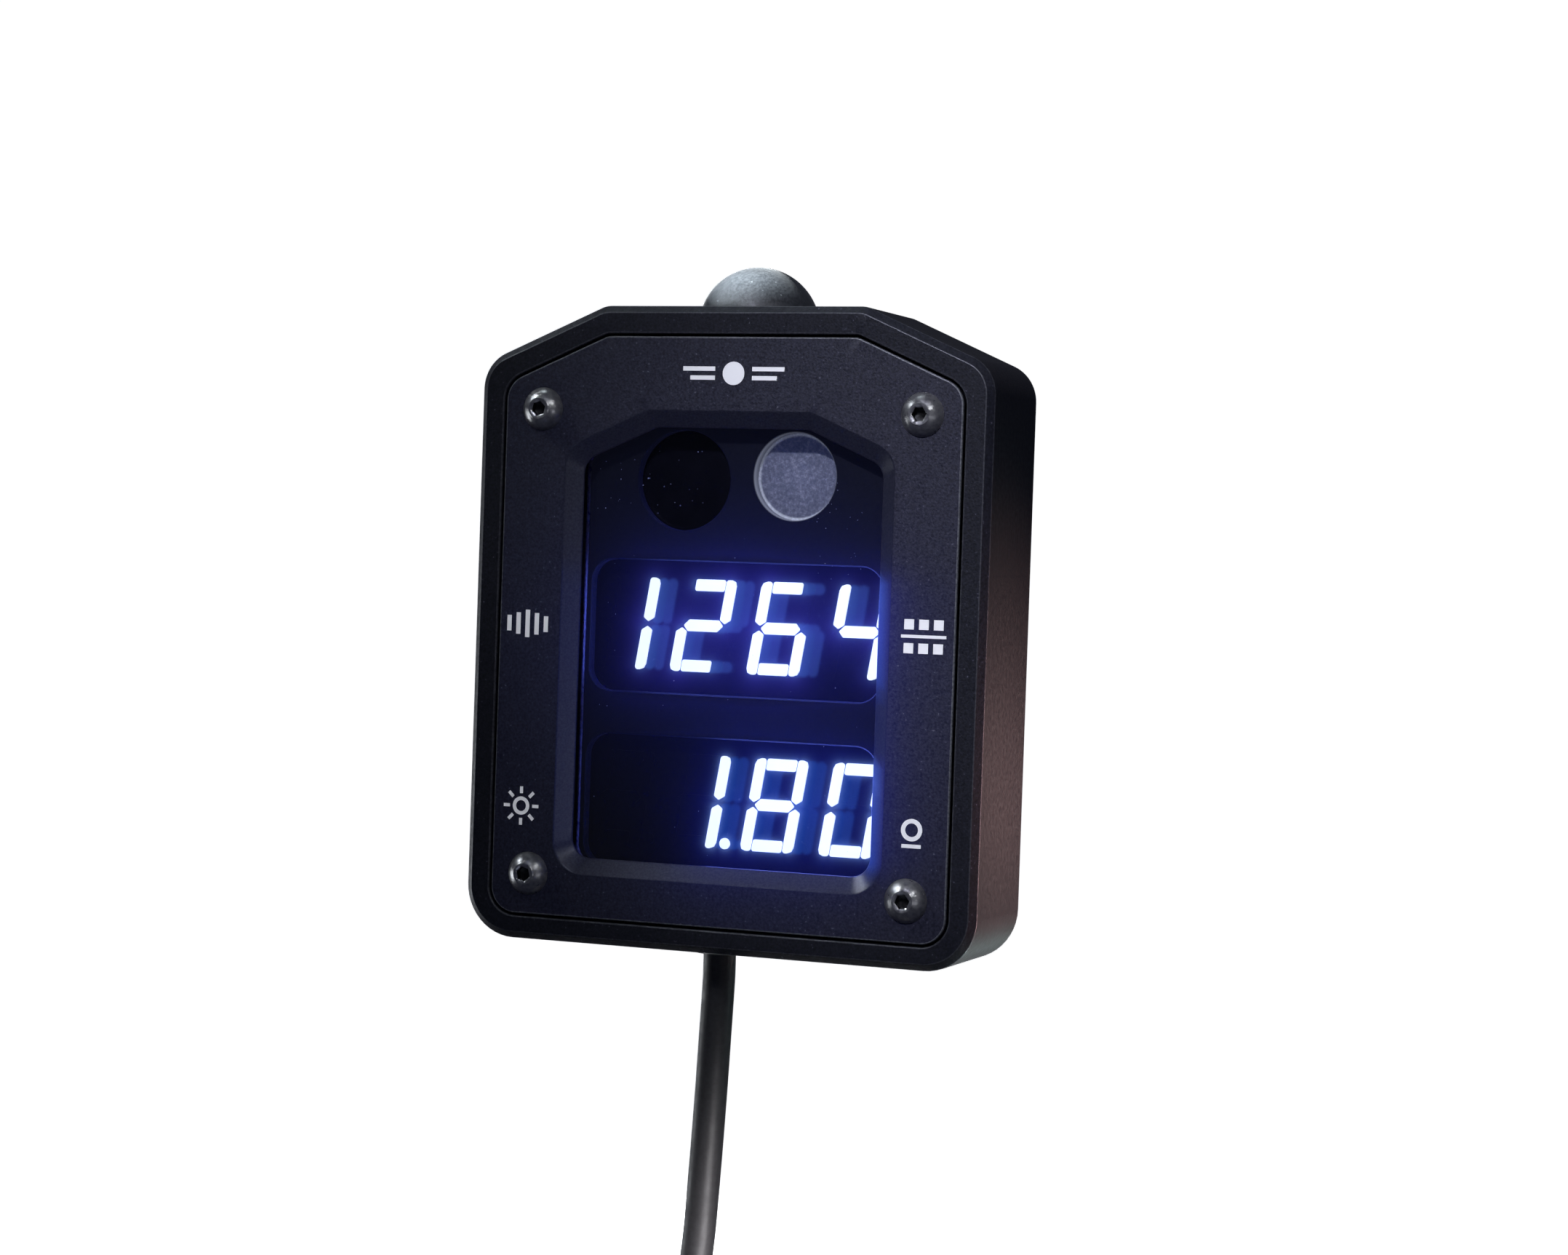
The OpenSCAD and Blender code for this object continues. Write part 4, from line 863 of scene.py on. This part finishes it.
for nm, zc, rep in (("upper_readout", UPPER_Z, "upper_display_case"), ("lower_readout", LOWER_Z, "lower_display_case")):
    bm = bmesh.new()
    nx, nz_ = 202, 82
    x0, x1, z0_, z1_ = -25.15, 25.15, zc - 10.6, zc + 10.0
    g = [[bm.verts.new(P(x0 + (x1 - x0) * i / nx, 8.2 if 0 < i < nx and 0 < j < nz_ else 8.32, z0_ + (z1_ - z0_) * j / nz_)) for j in range(nz_ + 1)] for i in range(nx + 1)]
    for i in range(nx):
        for j in range(nz_):
            bm.faces.new((g[i][j], g[i + 1][j], g[i + 1][j + 1], g[i][j + 1]))
    edge = [g[i][0] for i in range(nx)] + [g[nx][j] for j in range(nz_)] + [g[i][nz_] for i in range(nx, 0, -1)] + [g[0][j] for j in range(nz_, 0, -1)]
    back = [bm.verts.new((v.co.x, (16.2 - D) / 1000, v.co.z)) for v in edge]
    for i in range(len(edge)):
        k = (i + 1) % len(edge)
        bm.faces.new((edge[i], edge[k], back[k], back[i]))
    # shallow potted recess in the back, a frame of 3.5 mm round it
    inn = rrect(-23.6, zc - 6, 23.6, zc + 6, 0.4, 2)
    fr_in = [bm.verts.new(P(x, 16.2, z)) for x, z in inn]
    fr_dp = [bm.verts.new(P(x, 13.0, z)) for x, z in inn]
    for i in range(len(inn)):
        k = (i + 1) % len(inn)
        bm.faces.new((fr_in[i], fr_in[k], fr_dp[k], fr_dp[i]))
    bm.faces.new(fr_dp)
    bm.edges.ensure_lookup_table()
    eds = [e for e in bm.edges if len(e.link_faces) == 1]
    bmesh.ops.triangle_fill(bm, use_beauty=True, use_dissolve=False, edges=eds)
    o = new_obj(nm, bm, M["face"], weighted=False)
    paint(o, 8.5, extra=veil)
    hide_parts(rep)

for nm, lists, zc, rep in (("upper_strokes", UP, UPPER_Z, "upper_lit_segments"), ("lower_strokes", LOW, LOWER_Z, "lower_lit_segments")):
    bm = bmesh.new()
    for d in range(4):
        for k in lists[d]:
            pts = stroke_pts(k)
            o_ = rpoly(pts, stroke_rad(k), 5)
            cx = sum(p[0] for p in o_) / len(o_); cz = sum(p[1] for p in o_) / len(o_)
            dx = (d - 1.5) * PITCH
            fl = [(x + dx, z + zc) for x, z in o_]
            ins = [(cx + (x - cx) * 0.985 + dx, cz + (z - cz) * 0.985 + zc) for x, z in o_]
            loft(bm, [ring(fl, 8.2), ring(fl, 7.96), ring(ins, 7.9)])
    if nm == "lower_strokes":
        lathe_y(bm, -0.5 * PITCH + 4.75, zc - 6.25, [(0, 8.2), (0.85, 8.2), (0.85, 7.98), (0.78, 7.9), (0, 7.9)], 32)
    o = new_obj(nm, bm, M["lit"], weighted=False)
    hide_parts(rep)

bm = bmesh.new()
for lists, zc in ((UP, UPPER_Z), (LOW, LOWER_Z)):
    for d in range(4):
        dx = (d - 1.5) * PITCH
        for k in range(7):
            if k in lists[d]:
                continue
            o_ = rpoly(stroke_pts(k), stroke_rad(k), 4)
            fl = [(x + dx, z + zc) for x, z in o_]
            loft(bm, [ring(fl, 8.2), ring(fl, 8.16)])
        if not (zc == LOWER_Z and d == 1):
            lathe_y(bm, dx + 4.75, zc - 6.25, [(0, 8.2), (0.85, 8.2), (0.85, 8.16), (0, 8.16)], 28)
for f in list(bm.faces):
    if len(f.verts) > 4:
        bmesh.ops.poke(bm, faces=[f])
for _ in range(4):
    # enough points for the painted light to fall off inside each stroke
    long_ = [e for e in bm.edges if e.calc_length() > 0.0006]
    if not long_:
        break
    bmesh.ops.subdivide_edges(bm, edges=long_, cuts=1)
    bmesh.ops.triangulate(bm, faces=list(bm.faces))
o = new_obj("unlit_strokes", bm, M["face"], weighted=False)
paint(o, 9, extra=veil)
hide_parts("unlit_segments")

# rubber frame behind the pane, its inner lip rounded; the lip takes a lighter grey-violet copy of the rubber so it
# shows as a lit line: painted highlight
gi = lambda k: house(24.6 + k, 31.4 + k, -36.7 - k, 19.2 - k, 2.5, 3, 3)
bm = bmesh.new()
loft(bm, [ring(house(26.9, 33.7, -39.0, 16.8, 3, 3, 3), 4.4), ring(gi(0.30), 4.4), ring(gi(0.12), 4.43), ring(gi(0.02), 4.53), ring(gi(0), 4.68), ring(gi(0), 4.9),
          ring(house(26.9, 33.7, -39.0, 16.8, 3, 3, 3), 4.9)], closed=True, mats=[0, 1, 1, 1, 1, 0, 0])
wg = new_obj("pane_seal", bm, [M["gasket"], M["lip"]])
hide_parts("window_gasket")

# ------------------------------------------------------------------ inner mask with chamfered openings
loops = [("out", house(35.2, 42.1, -42.9, 6.5, 2, 3, 3, 5), -0.15), ("in", circle(*UV, 7.6, 72), 0.18), ("in", circle(*VIS, 6.6, 72), 0.18),
         ("in", rrect(-23.75, -9.95, 23.75, 10.2, 3.5, 8), 0.22), ("in", rrect(-23.75, -36.75, 23.75, -16.6, 3.5, 8), 0.22)]
loops += [("in", circle(x, z, 4.4, 28), 0.1) for x, z in SCREWS]
loops += [("in", circle(x, z, 1.15, 24), 1.15) for x, z in STAND]


def offset(o, k):
    """Outline moved outward by k mm along its own normals."""
    n = len(o)
    area = sum(o[i][0] * o[(i + 1) % n][1] - o[(i + 1) % n][0] * o[i][1] for i in range(n))
    sg = 1 if area > 0 else -1
    out_ = []
    for i in range(n):
        a, b_ = o[i - 1], o[(i + 1) % n]
        tx, tz = b_[0] - a[0], b_[1] - a[1]
        l = math.hypot(tx, tz) or 1
        out_.append((o[i][0] + sg * k * tz / l, o[i][1] - sg * k * tx / l))
    return out_


def inside(x, z, o):
    r = False
    n = len(o)
    for i in range(n):
        a, b_ = o[i], o[(i + 1) % n]
        if (a[1] > z) != (b_[1] > z) and x < (b_[0] - a[0]) * (z - a[1]) / (b_[1] - a[1]) + a[0]:
            r = not r
    return r


bm = bmesh.new()
front, lids = [], []
for kind, o_, k in loops:
    fo = offset(o_, k)
    front.append(fo)
    dep = 1.15 if k > 1 else abs(k)
    vs = [[bm.verts.new(p) for p in r] for r in (ring(fo, 4.9), ring(o_, 4.9 + dep), ring(o_, 6.5))]
    for a, b_ in ((vs[0], vs[1]), (vs[1], vs[2])):
        for j in range(len(a)):
            kk = (j + 1) % len(a)
            f = bm.faces.new((a[j], a[kk], b_[kk], b_[j]))
    lids.append((vs[0], vs[2]))
pts2, edges2, index = [], [], []
for fi, fo in enumerate(front):
    base = len(pts2)
    pts2 += [Vector(p) for p in fo]
    edges2 += [(base + i, base + (i + 1) % len(fo)) for i in range(len(fo))]
    index += [(fi, i) for i in range(len(fo))]
step = 1.0
gx = -35.0
while gx < 35.1:
    gz = -42.5
    while gz < 42:
        if inside(gx, gz, offset(front[0], -0.6)) and not any(inside(gx, gz, offset(fo, 0.6)) for fo in front[1:]):
            pts2.append(Vector((gx, gz)))
        gz += step
    gx += step
vv, ee, ff, ov, oe, of_ = delaunay_2d_cdt(pts2, edges2, [], 0, 1e-6)
made = {}
for i, p_ in enumerate(vv):
    src = next((j for j in ov[i] if j < len(index)), None)
    made[i] = lids[index[src][0]][0][index[src][1]] if src is not None else bm.verts.new(P(p_[0], 4.9, p_[1]))
for f in ff:
    cx = sum(vv[i][0] for i in f) / len(f)
    cz = sum(vv[i][1] for i in f) / len(f)
    if inside(cx, cz, front[0]) and not any(inside(cx, cz, fo) for fo in front[1:]):
        try:
            bm.faces.new([made[i] for i in f])
        except ValueError:
            pass
# back face
pts3, edges3, idx3 = [], [], []
for fi, (kind, o_, k) in enumerate(loops):
    base = len(pts3)
    pts3 += [Vector(p) for p in o_]
    edges3 += [(base + i, base + (i + 1) % len(o_)) for i in range(len(o_))]
    idx3 += [(fi, i) for i in range(len(o_))]
vv, ee, ff, ov, oe, of_ = delaunay_2d_cdt(pts3, edges3, [], 0, 1e-6)
for f in ff:
    cx = sum(vv[i][0] for i in f) / len(f)
    cz = sum(vv[i][1] for i in f) / len(f)
    if inside(cx, cz, loops[0][1]) and not any(inside(cx, cz, lo[1]) for lo in loops[1:]):
        try:
            bm.faces.new([lids[idx3[ov[i][0]][0]][1][idx3[ov[i][0]][1]] for i in f])
        except (ValueError, IndexError):
            pass
for v in [v for v in bm.verts if not v.link_faces]:
    bm.verts.remove(v)
mask = new_obj("inner_mask", bm, M["mask"], weighted=False)
paint(mask, 6.6, near=False, rim=1.7, extra=mask_light)
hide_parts("mask_panel")

paint(bezel, 2.2, near=False, gain=0.8, extra=frame_light)

# sensor discs
bm = bmesh.new()
lathe_y(bm, UV[0], UV[1], [(0, 6.56), (7.2, 6.56), (7.65, 6.62), (7.85, 6.75), (7.9, 6.95), (7.9, 8.3), (7.7, 8.5), (0, 8.5)], 96)
uvd = new_obj("filter_disc", bm, M["uv"])
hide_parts("uv_filter")
bm = bmesh.new()
lathe_y(bm, VIS[0], VIS[1], [(0, 6.56), (6.3, 6.56), (6.6, 6.62), (6.82, 6.75), (6.9, 6.95), (6.9, 8.3), (6.7, 8.5), (0, 8.5)], 96)
visd = new_obj("frosted_diffuser", bm, M["frost"])
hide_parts("vis_diffuser")

# ------------------------------------------------------------------ push button
bm = bmesh.new()
zc, Rd = 46.05, 9.3
prof = [(0, 51.0), (6.9, 51.0), (7.3, 50.6), (7.3, 47.65), (7.45, 47.45), (8.7, 47.45), (8.88, 47.6), (8.9, 47.9), (8.9, 48.2), (8.9, 48.45)]
prof += [(8.93, 48.6)]
a0 = math.degrees(math.asin((48.75 - zc) / Rd))
prof += [(Rd * math.cos(math.radians(a)), zc + Rd * math.sin(math.radians(a))) for a in [a0 + (90 - a0) * i / 26 for i in range(26)]] + [(0, zc + Rd)]
lathe_z(bm, 0, -11, prof, 96)
dome = new_obj("rubber_dome", bm, M["rubber"], body="button", angle=40)
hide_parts("button_cap")

# return spring, modelled at full height as with the button up; on the real meter it squashes as the button goes down
sp_pts = [Vector((4.75 * math.cos(a), -11 + 4.75 * math.sin(a), 47.15 + 2.18 * t)) for t, a in ((i / 108, math.radians(i * 10)) for i in range(109))]
bm = bmesh.new()
rr = []
for i, p_ in enumerate(sp_pts):
    tg = (sp_pts[min(i + 1, 108)] - sp_pts[max(i - 1, 0)]).normalized()
    s1 = tg.cross(Vector((0, 0, 1))).normalized()
    u1 = s1.cross(tg).normalized()
    rr.append([(p_ + 0.17 * (math.cos(2 * math.pi * j / 10) * s1 + math.sin(2 * math.pi * j / 10) * u1)) / 1000 for j in range(10)])
loft(bm, rr)
spring = new_obj("dome_spring", bm, M["steel"], weighted=False)
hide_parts("return_spring")
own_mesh(spring)

# ------------------------------------------------------------------ rear cover
ro_ = lambda k: house(37.3 - k, 44.4 - k, -44.4 + k, 4.2 + k, 2, 4, 4)
bm = bmesh.new()
loft(bm, [ring(ro_(0), 20.0), ring(ro_(0), 21.75), ring(ro_(0.06), 21.92), ring(ro_(0.25), 22.0)])
rear = new_obj("rear_plate", bm, M["coverplate"])
cuts = [cyl_y(x, z, [(1.25, 19), (1.25, 21.7), (1.6, 22.05), (1.6, 23)], 40) for x in (-15, 15) for z in (-19, 19)]
cuts += [cyl_y(x, z, [(1.6, 19), (1.6, 20.55), (3.0, 22.0), (3.05, 22.3)], 48) for x, z in SCREWS]
cut(rear, cuts)
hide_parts("rear_cover")
bm = bmesh.new()
for x in (-15, 15):
    for z in (-19, 19):
        lathe_y(bm, x, z, [(1.25, 20.0), (1.25, 18.35), (1.4, 18.2), (3.0, 18.2), (3.2, 18.4), (3.2, 20.0)], 40, closed=True)
rb = new_obj("rear_bosses", bm, M["coverplate"])
bm = bmesh.new()
for i, (x, z) in enumerate(SCREWS):
    n = 48
    rot = [0.5, 0.1, 0.9, 0.3][i]
    hexr = [1.155 * math.cos(math.pi / 6) / math.cos(((2 * math.pi * j / n + 1e-9) % (math.pi / 3)) - math.pi / 6) for j in range(n)]
    def row2(fr, s):
        return [bm.verts.new(P(x + fr[j] * math.cos(2 * math.pi * j / n + rot), s, z + fr[j] * math.sin(2 * math.pi * j / n + rot))) for j in range(n)]
    rows = [[bm.verts.new(P(x, 20.8, z))], row2(hexr, 20.85), row2(hexr, 21.82), row2([1.35] * n, 21.95), row2([2.7] * n, 21.95), row2([2.84] * n, 21.87), row2([1.4] * n, 20.45), row2([1.4] * n, 14.8), row2([1.2] * n, 14.6), [bm.verts.new(P(x, 14.6, z))]]
    # the first three bands, the hex socket, take the darkened steel: painted shade
    _rows(bm, rows, n, 0, [1, 1, 1] + [0] * 6, False)
rs = new_obj("rear_countersunk_screws", bm, [M["screw"], M["socket"]])
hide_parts("rear_cover_screws")

# cord bushing
bm = bmesh.new()
zb = -48.65
lathe_z(bm, -3, -11, [(2.52, -42.4), (2.7, -42.2), (4.3, -42.2), (4.45, -42.35), (4.45, -43.05), (4.3, -43.2), (3.95, -43.2), (3.95, zb), (4.85, zb), (4.9, zb - 0.12), (4.6, zb - 0.55), (4.25, zb - 0.82), (3.9, zb - 0.9), (2.75, zb - 0.9), (2.52, zb - 0.6)], 64, closed=True)
bush = new_obj("cord_grommet", bm, M["cord"])
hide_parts("cord_bushing")

# dust on the pane and over the filter: small flat flecks, with a painted blue tint and painted glow from the readouts'
# light
bm = bmesh.new()
rnd = random.Random(11)


def fleck(x, z, s, r):
    n = 6
    a0 = rnd.random() * 6.28
    vs_ = [bm.verts.new(P(x + r * (0.6 + 0.6 * rnd.random()) * math.cos(a0 + 2 * math.pi * i / n), s, z + r * (0.6 + 0.6 * rnd.random()) * math.sin(a0 + 2 * math.pi * i / n))) for i in range(n)]
    top = bm.verts.new(P(x, s - 0.03, z))
    for i in range(n):
        bm.faces.new((vs_[i], vs_[(i + 1) % n], top))
    bm.faces.new(vs_[::-1])


for _ in range(30):
    fleck(rnd.uniform(-22, -3), rnd.uniform(17, 27), 1.96, rnd.choice([0.05, 0.06, 0.07, 0.09, 0.12]))
for _ in range(44):
    fleck(rnd.uniform(-22, 22), rnd.uniform(-34.5, 14), 1.96, rnd.choice([0.04, 0.05, 0.06, 0.08]))
for _ in range(26):
    fleck(rnd.uniform(14, 22), rnd.uniform(8, 24), 1.96, rnd.choice([0.05, 0.06, 0.08]))
dust_and_painted_glow = new_obj("pane_dust", bm, M["dust_and_painted_glow"], weighted=False)
# the flecks get the readouts' painted haze as glow
paint(dust_and_painted_glow, 9, near=False, gain=1.6)

# ------------------------------------------------------------------ floor, lights, world
mt, nt, b, out, tc = base_mat("backdrop")
b.inputs["Base Color"].default_value = (0.9, 0.9, 0.9, 1)
n1 = noise(nt, tc, 3.0, 1.0)
rc = ramp(nt, n1.outputs["Fac"], [(0.0, (1, 1, 1)), (1.0, (1, 1, 1))])
nt.links.new(rc.outputs["Color"], b.inputs["Emission Color"])
b.inputs["Emission Strength"].default_value = 1.0
b.inputs["Roughness"].default_value = 1.0
b.inputs["Specular IOR Level"].default_value = 0.0
bm = bmesh.new()
prof = [(-3.5, -0.262)] + [(-3.4, -0.262), (1.4, -0.262)] + [(1.4 + 0.8 * math.sin(math.radians(a)), 0.538 - 0.8 * math.cos(math.radians(a))) for a in range(10, 91, 10)] + [(2.2, 3.2)]
prev = None
for y_, z_ in prof:
    cur = (bm.verts.new((-4, y_, z_)), bm.verts.new((4, y_, z_)))
    if prev:
        bm.faces.new((prev[0], prev[1], cur[1], cur[0]))
    prev = cur
me = bpy.data.meshes.new("backdrop")
for f in bm.faces:
    f.smooth = True
bm.to_mesh(me); bm.free()
me.materials.append(mt)
bd = bpy.data.objects.new("backdrop", me)
scene.collection.objects.link(bd)
bd.visible_diffuse = False
bd.visible_glossy = False
bd.visible_transmission = False
bd.visible_shadow = False


def area(name, loc, target, size, power, color, sy=None, spread=180):
    l = bpy.data.lights.new(name, "AREA")
    l.shape = "RECTANGLE" if sy else "DISK"
    l.size = size
    if sy:
        l.size_y = sy
    l.energy = power
    l.color = color
    l.spread = math.radians(spread)
    o = bpy.data.objects.new(name, l)
    scene.collection.objects.link(o)
    o.location = loc
    o.rotation_mode = "QUATERNION"
    o.rotation_quaternion = (Vector(target) - Vector(loc)).to_track_quat("-Z", "Y")
    return o


def spot(name, loc, target, cone, blend, power, color, radius):
    l = bpy.data.lights.new(name, "SPOT")
    l.spot_size = math.radians(cone)
    l.spot_blend = blend
    l.energy = power
    l.color = color
    l.shadow_soft_size = radius
    o = bpy.data.objects.new(name, l)
    scene.collection.objects.link(o)
    o.location = loc
    o.rotation_mode = "QUATERNION"
    o.rotation_quaternion = (Vector(target) - Vector(loc)).to_track_quat("-Z", "Y")
    return o


spot("key", (0.02, -0.62, 0.45), (0.036, -0.022, 0.021), 11.4, 1.0, 16.0, (0.82, 0.83, 1.0), 0.022)
spot("on_corner", (-0.36, -0.165, 0.40), (0.0244, -0.0208, -0.0366), 1.7, 1.0, 52.0, (0.92, 0.97, 1.0), 0.03)
area("fill_front", (-0.02, -0.70, 0.50), (0, -0.02, 0), 0.05, 0.4, (0.80, 0.88, 1.0))
area("overhead", (-0.20, 0.07, 0.62), (0, -0.01, 0.03), 0.20, 0.42, (0.84, 0.96, 1.0))
spot("on_dome", (-0.15, -0.425, 0.100), (0.000, -0.013, 0.0593), 2.5, 0.3, 150.0, (0.90, 0.97, 1.0), 0.003)
area("left_high", (-0.60, -0.17, 0.46), (0, -0.02, 0), 0.10, 0.75, (0.88, 0.95, 1.0))
area("right_high", (0.42, -0.46, 0.42), (0, -0.02, 0), 0.09, 0.5, (0.95, 0.97, 1.0))
spot("warm_right", (0.36, 0.16, -0.13), (0.041, -0.010, -0.021), 8.6, 0.5, 8.4, (1.0, 0.57, 0.55), 0.02)
spot("corner_right", (0.22, 0.20, -0.28), (0.038, -0.010, -0.044), 8, 0.8, 15.0, (0.80, 1.0, 0.98), 0.04)
area("rear_left", (-0.46, 0.74, 0.02), (0, 0, -0.06), 0.5, 4.5, (0.92, 0.96, 1.0))
area("rear_low", (-0.20, 0.55, -0.62), (0, 0, -0.10), 0.4, 2.2, (0.95, 0.97, 1.0))
area("left_low", (-0.80, 0.12, -0.20), (0, 0, -0.08), 0.4, 1.8, (0.92, 0.96, 1.0))
spot("on_coil", (-0.28, -0.62, 0.10), (0.006, -0.011, -0.186), 11.0, 0.4, 60.0, (0.95, 0.97, 1.0), 0.008)
spot("by_coil", (0.66, -0.16, -0.10), (0.006, -0.011, -0.188), 11.0, 0.4, 45.0, (0.95, 0.97, 1.0), 0.008)
area("low_front", (-0.06, -0.62, -0.36), (0, -0.02, -0.03), 0.12, 0.10, (0.70, 0.78, 1.0))
spot("on_cord", (0.38, -0.30, -0.20), (-0.006, -0.011, -0.118), 8, 1.0, 58.0, (1.0, 0.97, 1.0), 0.03)
area("right_front", (0.62, -0.50, -0.12), (0, -0.02, 0), 0.16, 0.16, (0.90, 0.92, 1.0))
for i, (x, z) in enumerate(SCREWS):
    spot("on_screw_%d" % (i + 1), (x / 1000 - 0.40, -0.42, z / 1000 + 0.44), (x / 1000, -0.0235, z / 1000), 1.3, 0.7, 9.0, (0.95, 0.98, 1.0), 0.05)
    spot("by_screw_%d" % (i + 1), (x / 1000 + 0.46, -0.36, z / 1000 + 0.26), (x / 1000, -0.0235, z / 1000), 1.3, 0.7, 4.0, (0.95, 0.98, 1.0), 0.05)
for nm, zc, x0, x1, pw in (("readout_light_upper", UPPER_Z, -17, 23, 0.035), ("readout_light_lower", LOWER_Z, -5, 23, 0.035)):
    o = area(nm, P((x0 + x1) / 2, 7.6, zc), P((x0 + x1) / 2, -50, zc), (x1 - x0) / 1000, pw, (0.13, 0.19, 1.0), sy=0.012)
    o.visible_camera = False

w = bpy.data.worlds.new("studio")
scene.world = w
w.use_nodes = True
nt = w.node_tree
nt.nodes.clear()
out = node(nt, "ShaderNodeOutputWorld")
bg = node(nt, "ShaderNodeBackground")
bg.inputs["Color"].default_value = (0.44, 0.50, 0.95, 1)
bg.inputs["Strength"].default_value = 0.033
bgc = node(nt, "ShaderNodeBackground")
bgc.inputs["Color"].default_value = (1, 1, 1, 1)
bgc.inputs["Strength"].default_value = 1.0
lp = node(nt, "ShaderNodeLightPath")
mx = node(nt, "ShaderNodeMixShader")
nt.links.new(lp.outputs["Is Camera Ray"], mx.inputs["Fac"])
nt.links.new(bg.outputs["Background"], mx.inputs[1])
nt.links.new(bgc.outputs["Background"], mx.inputs[2])
nt.links.new(mx.outputs["Shader"], out.inputs["Surface"])

bpy.context.view_layer.update()
